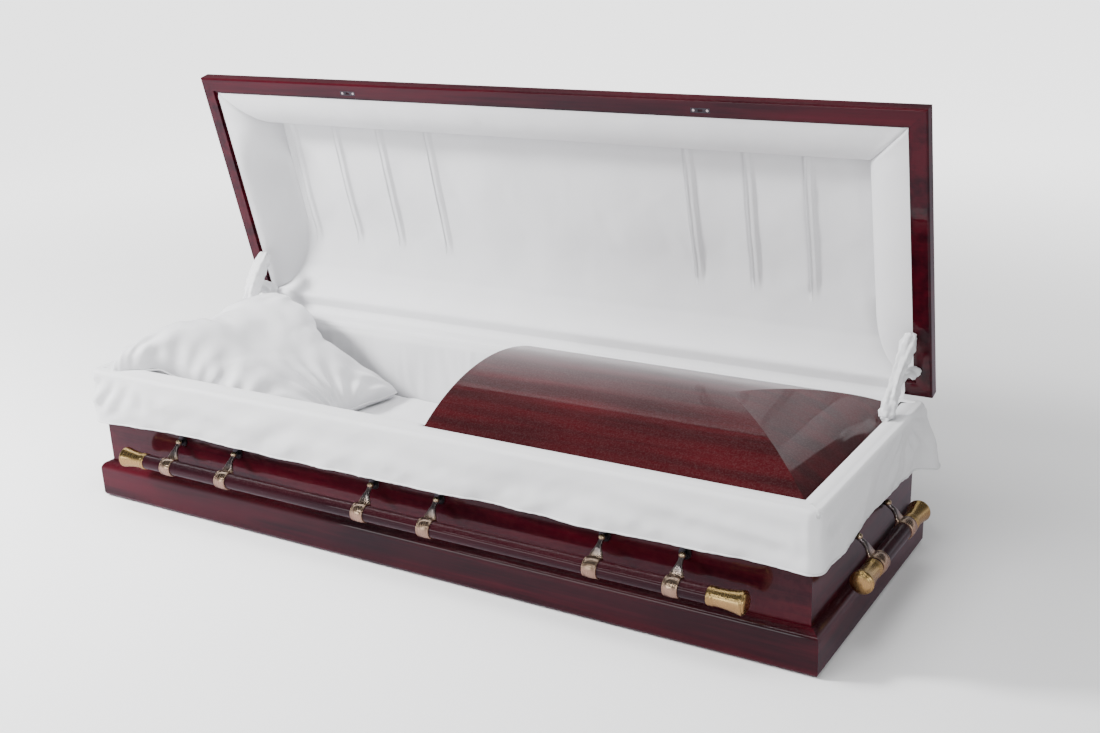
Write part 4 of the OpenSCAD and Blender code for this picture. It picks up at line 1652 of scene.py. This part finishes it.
    def ceiling_cloth(self) -> Obj:
        """Makes the pleated ceiling and the cove below it, in one cloth.

        Returns:
            The cloth.
        """
        lay = self.layout
        hy, hz = lay.hinge
        offsets = (
            -0.006, -0.003, -0.0018, -0.0009, 0.0, 0.0006, 0.0013, 0.0022, 0.0035, 0.005, 0.007, 0.009,
            0.013, 0.018, 0.025, 0.032
        )
        unit_x = spaced(
            -1.0, 1.0, 0.0115, [p / (lay.lid_x - 0.166) for p in self.pleats],
            [o / (lay.lid_x - 0.166) for o in offsets]
        )
        flat = np.linspace(-hy + self.mitre_y, hy - self.start - self.cove, 44)[:-1]
        arc = np.radians(np.linspace(90, 0, 40))
        cove_y = hy - self.start - self.cove * (1 - np.cos(arc))
        cove_z = self.cove_low + (self.ceiling - self.cove_low) * np.sin(arc)
        y = np.concatenate([flat, cove_y])
        z = np.concatenate([np.full(len(flat), self.ceiling), cove_z])
        inset = hy - y
        half = lay.lid_x - self.start - self.roll_width(inset) + 0.0015
        xx = unit_x[None, :] * half[:, None]
        yy = np.repeat(y[:, None], len(unit_x), 1)
        zz = np.repeat(z[:, None], len(unit_x), 1)
        t = hy - yy
        soft, broad = Ripple(81, 0.55, 0.13, 14), Ripple(82, 1.3, 0.5, 6)
        pull = Ripple(83, 0.10, 0.04, 10, 0.2)
        depth = 0.0022 * soft(xx, yy) + 0.0024 * broad(xx, yy) + 0.0004 * pull(xx, yy)
        height = np.zeros_like(xx)
        for k, place in enumerate(self.pleats):
            drift = place + 0.004 * math.sin(3.1 * k) * (t - 0.35)
            run = smooth(t, 0.165 + 0.008 * (k % 3), 0.235)
            height += 0.0086 * run * self.pleat(xx - drift)
            depth += 0.0016 * bump(xx, drift + 0.075, 0.05) * run
        edge = smooth(half[:, None] - np.abs(xx), 0.0, 0.03)
        zz = zz + edge * (depth - height) - (1 - edge) * 0.0005
        beside = np.minimum(half[:, None] - np.abs(xx), 2 * hy - self.mitre_y - t)
        zz = zz + 0.0042 * np.exp(-((beside / 0.012) ** 2)) * smooth(t, 0.20, 0.27) * smooth(xx, -0.86, -0.82)
        zz = zz + 0.0012 * bump(t, 0.105, 0.010)
        obj = grid_object("lid_pleated_cloth", lay.opened(stacked(xx, yy, hz + zz)), self.finishes.lid_cloth)
        dress(obj, Body.LID.value, Slot.LID_CLOTH, "lid_ceiling", "lid_hinge_cove")
        return obj

    def build(self) -> None:
        """Makes every piece."""
        for side in (Side.FRONT, Side.HEAD, Side.FOOT):
            self.roll_piece(side)
        self.ceiling_cloth()


@dataclass
class StaySleeves:
    """Gathered cloth sleeves over the lid's stays, with their knots and tufts."""

    layout: Layout
    finishes: Finishes
    girth: float = 0.118
    lap: float = 0.009
    run: float = 0.213
    fullness: float = 1.25
    radius: float = 0.0158
    low_y: float = 0.193
    low_lift: float = 0.010
    high_y: float = 0.322
    high_z: float = 0.549
    tuft_r: float = 0.012
    low_knot_r: float = 0.0120
    head_low_knot_r: float = 0.0240
    high_knot_r: float = 0.0095

    def sleeve(self, end: int) -> list[Obj]:
        """Makes one sleeve with its strip, knots and tuft.

        Args:
            end: -1 at the head, 1 at the foot.

        Returns:
            The pieces.
        """
        lay = self.layout
        name = "head" if end < 0 else "foot"
        fat, shift = (1.30, 0.020) if end < 0 else (1.0, 0.0)
        foot = np.array([end * 1.011 + shift, self.low_y, lay.rail_top + self.low_lift])
        head = np.array([end * 1.0225 + shift, self.high_y, self.high_z])
        t = np.linspace(0, 1, 60)
        bow = np.sin(math.pi * t)[:, None] * np.array([end * -0.002, -0.010, -0.004])
        path = foot + (head - foot) * t[:, None] + bow
        seg = 40
        turn = 1 + self.lap / self.girth
        a = np.linspace(0, 2 * math.pi * turn, seg)
        tt, aa = np.meshgrid(t, a, indexing="ij")
        rng = np.random.RandomState(90 + end)
        ph = rng.uniform(0, 6.28, 6)
        radius = self.radius * fat + 0.0026 * np.sin(tt * 7 + ph[0])
        radius = radius - 0.006 * bump(tt, 1.0, 0.05) - 0.003 * bump(tt, 0.0, 0.04)
        folds = (
            0.0024 * np.sin(aa * 5 + 2.2 * np.sin(tt * 5 + ph[1])) + 0.0012 * np.sin(aa * 9 + tt * 6 + ph[2])
        )
        folds = folds + 0.0011 * np.sin(tt * 46 + 1.7 * np.sin(aa * 2 + ph[3]))
        folds = folds + 0.0007 * np.sin(tt * 83 + 2.2 * np.sin(aa + ph[4]))
        over = 0.0011 * smooth(aa, 2 * math.pi * (turn - 0.12), 2 * math.pi * turn)
        tangent = unit(np.gradient(path, axis=0))
        across = unit(np.cross(tangent, np.array([1.0, 0.0, 0.0])))
        other = np.cross(across, tangent)
        wide = (radius + folds + over)[..., None]
        wrapped = (
            path[:, None]
            + wide * (
                np.cos(aa - 0.6)[..., None] * across[:, None] + np.sin(aa - 0.6)[..., None] * other[:, None]
            )
        )
        main = grid_object(f"{name}_sleeve", wrapped, self.finishes.skirt)
        pieces = [main]
        low = np.array([end * 1.027, 0.3475, 0.448]) + np.array([0.008, -0.004, -0.026]) * (end < 0)
        strip_t = np.linspace(0, 1, 30)[:, None]
        inside, tip = np.array([end * 1.018, 0.300, 0.470]), np.array([end * 1.016, 0.262, 0.452])
        bend = low * 0.4 + inside * 0.6
        strip = (1 - strip_t) ** 2 * low + 2 * (1 - strip_t) * strip_t * bend + strip_t**2 * tip
        half = (0.0165 - 0.007 * strip_t[:, 0]) * fat**1.5
        ring = tube_points(strip, np.ones(30), 16, (0, 0, 1))
        b = around(16)
        scale = half[:, None] * (0.9 + 0.25 * np.sin(b * 3 + strip_t * 9))
        ring = strip[:, None] + (ring - strip[:, None]) * scale[..., None]
        pieces.append(grid_object(f"{name}_sleeve_strip", ring, self.finishes.skirt, wrap_cols=True))
        high_knot = (head + np.array([end * 0.004, -0.006, -0.001]), self.high_knot_r)
        low_knot = (low, self.low_knot_r if end > 0 else self.head_low_knot_r)
        for k, (centre, size) in enumerate((high_knot, low_knot)):
            pieces.append(self.knot(f"{name}_knot_{k}", centre, size, 30 + k))
        for obj in pieces[:2]:
            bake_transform(obj)
            dress(obj, "", Slot.SKIRT)
        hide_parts(f"{name}_stay_sleeve")
        hy, hz = lay.hinge
        pocket, above = lay.opened(
            np.array([(end * 1.01, hy - 0.1, hz + 0.0036), (end * 1.01, hy - 0.1, hz + 1.0036)])
        )
        for obj in pieces[2:]:
            dress(obj, Body.LID.value, Slot.SKIRT)
            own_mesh(obj)
        tuft = self.knot(f"{name}_tuft", foot + np.array([0, -0.002, 0.001]), self.tuft_r, 45)
        dress(tuft, Body.CASKET.value, Slot.SKIRT)
        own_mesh(tuft)
        return pieces + [tuft]

    def knot(self, name: str, centre: Points, size: float, seed: int) -> Obj:
        """Makes a small crumpled knot of cloth.

        Args:
            name: piece name.
            centre: its middle.
            size: its radius.
            seed: seed of its folds.

        Returns:
            The knot.
        """
        lat, lon = np.meshgrid(np.linspace(0.05, math.pi - 0.05, 22), around(32), indexing="ij")
        rng = np.random.RandomState(seed)
        ph = rng.uniform(0, 6.28, 4)
        crumple = 0.16 * np.sin(lon * 5 + ph[0]) * np.sin(lat) + 0.12 * np.sin(lon * 3 + lat * 4 + ph[1])
        r = size * (1 + crumple + 0.08 * np.sin(lat * 9 + ph[2]))
        pts = (
            centre
            + stacked(r * np.sin(lat) * np.cos(lon), r * np.sin(lat) * np.sin(lon), 0.8 * r * np.cos(lat))
        )
        return grid_object(name, pts, self.finishes.skirt, wrap_cols=True)

    def build(self) -> None:
        """Makes both sleeves."""
        for end in (-1, 1):
            self.sleeve(end)


# ------------------------------------------------------------------ metal


@dataclass
class SwingBars:
    """Brass tips and forged arms of the four swing bars."""

    layout: Layout
    finishes: Finishes
    bar_r: float = 0.020
    ring_r: float = 0.0235
    tip_r: float = 0.0275
    neck_r: float = 0.0206
    ring_half: float = 0.0180
    knob_r: float = 0.0078
    arm_gap: float = 0.099
    squareness: float = 0.72
    pair_gap: float = 0.650

    def tip_profile(self) -> list[tuple[float, float]]:
        """Outline of a tip from its collar to its domed end.

        Returns:
            Radius and place of each point.
        """
        out = [(0.0200, 0.0), (0.0212, 0.0002), (0.0220, 0.0012), (0.0220, 0.0052), (0.0214, 0.0062),
               (0.0207, 0.0066), (0.0207, 0.0076), (0.0214, 0.0080), (0.0220, 0.0088), (0.0220, 0.0138),
               (0.0216, 0.0148), (0.0209, 0.0152), (self.neck_r, 0.0160)]
        for t in np.linspace(0, 1, 18):
            out.append((self.neck_r + (self.tip_r - self.neck_r) * t**1.9, 0.017 + 0.060 * t))
        for a in np.radians(np.linspace(10, 90, 7)):
            out.append((self.tip_r - 0.0045 + 0.0045 * math.cos(a) + 0.0001, 0.0775 + 0.0055 * math.sin(a)))
        for a in np.radians(np.linspace(6, 90, 10)):
            out.append((max(0.0004, (self.tip_r - 0.0046) * math.cos(a)), 0.0832 + 0.0062 * math.sin(a)))
        return out

    def along(self, side: Side, pts: Points, x: float, flip: bool = False) -> Points:
        """Moves points drawn along X at the origin to a bar.

        Args:
            side: the bar's side.
            pts: the points.
            x: place along the bar.
            flip: turns them end for end.

        Returns:
            Points in the casket's frame.
        """
        q = pts.copy()
        if flip:
            q[..., 0] *= -1
            q[..., 1] *= -1
        q[..., 0] += x
        return self.turned(side, q) + self.middle(side)

    def middle(self, side: Side) -> Points:
        """Middle of a bar."""
        lo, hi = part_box(f"{side.value}_bar")
        return np.array((lo + hi) / 2)

    def turned(self, side: Side, q: Points) -> Points:
        """Turns points drawn for the front to another side."""
        c, s = {Side.FRONT: (1, 0), Side.BACK: (-1, 0), Side.FOOT: (0, 1), Side.HEAD: (0, -1)}[side]
        return stacked(q[..., 0] * c - q[..., 1] * s, q[..., 0] * s + q[..., 1] * c, q[..., 2])

    def half_length(self, side: Side) -> float:
        """Half the length of a bar's wood."""
        lo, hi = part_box(f"{side.value}_bar")
        return (hi.x - lo.x) / 2 if side in (Side.FRONT, Side.BACK) else (hi.y - lo.y) / 2

    def tips(self, side: Side) -> Obj:
        """Makes both tips of a bar.

        Args:
            side: the side.

        Returns:
            The tips.
        """
        base = lathe_points(self.tip_profile(), 64)
        parts = []
        for flip in (False, True):
            pts = self.along(side, base, self.half_length(side) * (-1 if flip else 1), flip)
            parts.append(grid_object("tip", pts, self.finishes.bright, wrap_cols=True))
        obj = joined(f"{side.value}_brass_tips", parts)
        return dress(obj, f"{side.value}_swing_bar", Slot.BRIGHT, f"{side.value}_bar_tips")

    def arm(self, side: Side, x: float) -> list[Obj]:
        """Makes one forged arm with its ring and knob.

        Args:
            side: the side.
            x: its place along the bar.

        Returns:
            The pieces before they are joined.
        """
        mid = self.middle(side)
        joint = self.layout.joint(f"{side.value}_bar_swing")["pos_m"]
        across = 1 if side in (Side.FRONT, Side.BACK) else 0
        out, rise = abs(mid[across]) - abs(joint[across]), joint[2] - mid[2]
        reach = math.hypot(out, rise)
        axis_y, axis_z = out / reach, rise / reach
        # the shank runs from the pivot to the bar; its sections are rounded rectangles
        along = np.linspace(-0.001, reach - 0.016, 40)
        wide = 0.0058 + 0.0119 * smooth(along, 0.010, 0.049) ** 1.25 + 0.0010 * bump(along, 0.002, 0.006)
        deep = 0.0054 + 0.0006 * bump(along, 0.0, 0.008) + 0.0016 * smooth(along, 0.030, reach - 0.016)
        a = around(36)
        cx, cy = (np.sign(v) * np.abs(v) ** self.squareness for v in (np.cos(a), np.sin(a)))
        curve = 0.0035 * np.sin(math.pi * smooth(along, 0.0, reach - 0.02))[:, None]
        through = deep[:, None] * cy[None, :] - curve
        px = x + wide[:, None] * cx[None, :]
        pa = np.repeat(along[:, None], len(a), 1)
        q = stacked(px, (out - pa * axis_y) + through * axis_z, (rise - pa * axis_z) - through * axis_y)
        shank = grid_object("shank", self.turned(side, q) + mid, self.finishes.arm, wrap_cols=True)
        ring_pts = self.along(side, lathe_points(self.ring_profile(), 56), x)
        ring = grid_object("ring", ring_pts, self.finishes.arm, wrap_cols=True)
        lat, lon = np.meshgrid(np.linspace(0.03, math.pi - 0.03, 18), around(28), indexing="ij")
        ball = stacked(
            x + self.knob_r * np.cos(lat) * 1.05,
            out - 0.0015 + self.knob_r * np.sin(lat) * np.cos(lon),
            rise + 0.0012 + self.knob_r * np.sin(lat) * np.sin(lon),
        )
        knob = grid_object("knob", self.turned(side, ball) + mid, self.finishes.knob, wrap_cols=True)
        return [shank, ring, knob]

    def ring_profile(self) -> list[tuple[float, float]]:
        """Outline of a beaded ring that hugs the bar, the same from both ends.

        Returns:
            Radius and place of each point.
        """
        w, r, hole = self.ring_half, self.ring_r, self.bar_r + 0.0001
        half = [(hole, 0.0), (r - 0.0012, 0.0), (r - 0.0003, 0.0006), (r + 0.0001, 0.0016),
                (r - 0.0001, 0.0030), (r - 0.0008, 0.0036), (r - 0.0008, 0.0042), (r, 0.0050),
                (r + 0.0007, w - 0.004)]
        left = [(radius, place - w) for radius, place in half]
        return left + [(r + 0.0009, 0.0)] + [(radius, -place) for radius, place in reversed(left)]

    def lugs(self, side: Side) -> None:
        """Gives the CAD lugs their metal."""
        frame["nodes"][f"{side.value}_lugs"].data.materials[0] = self.finishes.steel

    def build(self) -> None:
        """Makes the metal of every bar."""
        gap = self.arm_gap
        for side in Side:
            self.tips(side)
            long_side = side in (Side.FRONT, Side.BACK)
            middles = (-self.pair_gap, 0.0, self.pair_gap) if long_side else (0.0,)
            parts: list[Obj] = []
            for x in [m + s * gap for m in middles for s in (-1, 1)]:
                parts += self.arm(side, x)
            obj = joined(f"{side.value}_forged_arms", parts)
            dress(obj, f"{side.value}_swing_bar", Slot.ANTIQUE, f"{side.value}_arms")
            self.lugs(side)


class LidMetal:
    """Hinges and catches of the lid keep their CAD shape and get their metal."""

    def __init__(self, finishes: Finishes) -> None:
        """Takes the finishes."""
        self.finishes = finishes

    def build(self) -> None:
        """Puts the metal on."""
        for name in ("hinge_base_leaves", "hinge_lid_leaves", "catch_plates"):
            frame["nodes"][name].data.materials[0] = self.finishes.steel
        frame["nodes"]["catch_screws"].data.materials[0] = self.finishes.screw


def corners() -> list[list[float]]:
    """Box of everything shown."""
    return [list(v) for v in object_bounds()]


def main() -> None:
    """Builds every sub-assembly in order."""
    logging.basicConfig(level=logging.INFO)
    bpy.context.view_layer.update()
    layout = Layout()
    finishes = Finishes()
    Studio().build()
    Wood(finishes).build()
    Overlay(layout, finishes).build()
    Interior(layout, finishes).build()
    HingeDrape(layout, finishes).build()
    LidCloth(layout, finishes).build()
    StaySleeves(layout, finishes).build()
    Pillow(layout, finishes).build()
    SwingBars(layout, finishes).build()
    LidMetal(finishes).build()
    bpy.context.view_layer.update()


if __name__ == "__main__":
    main()
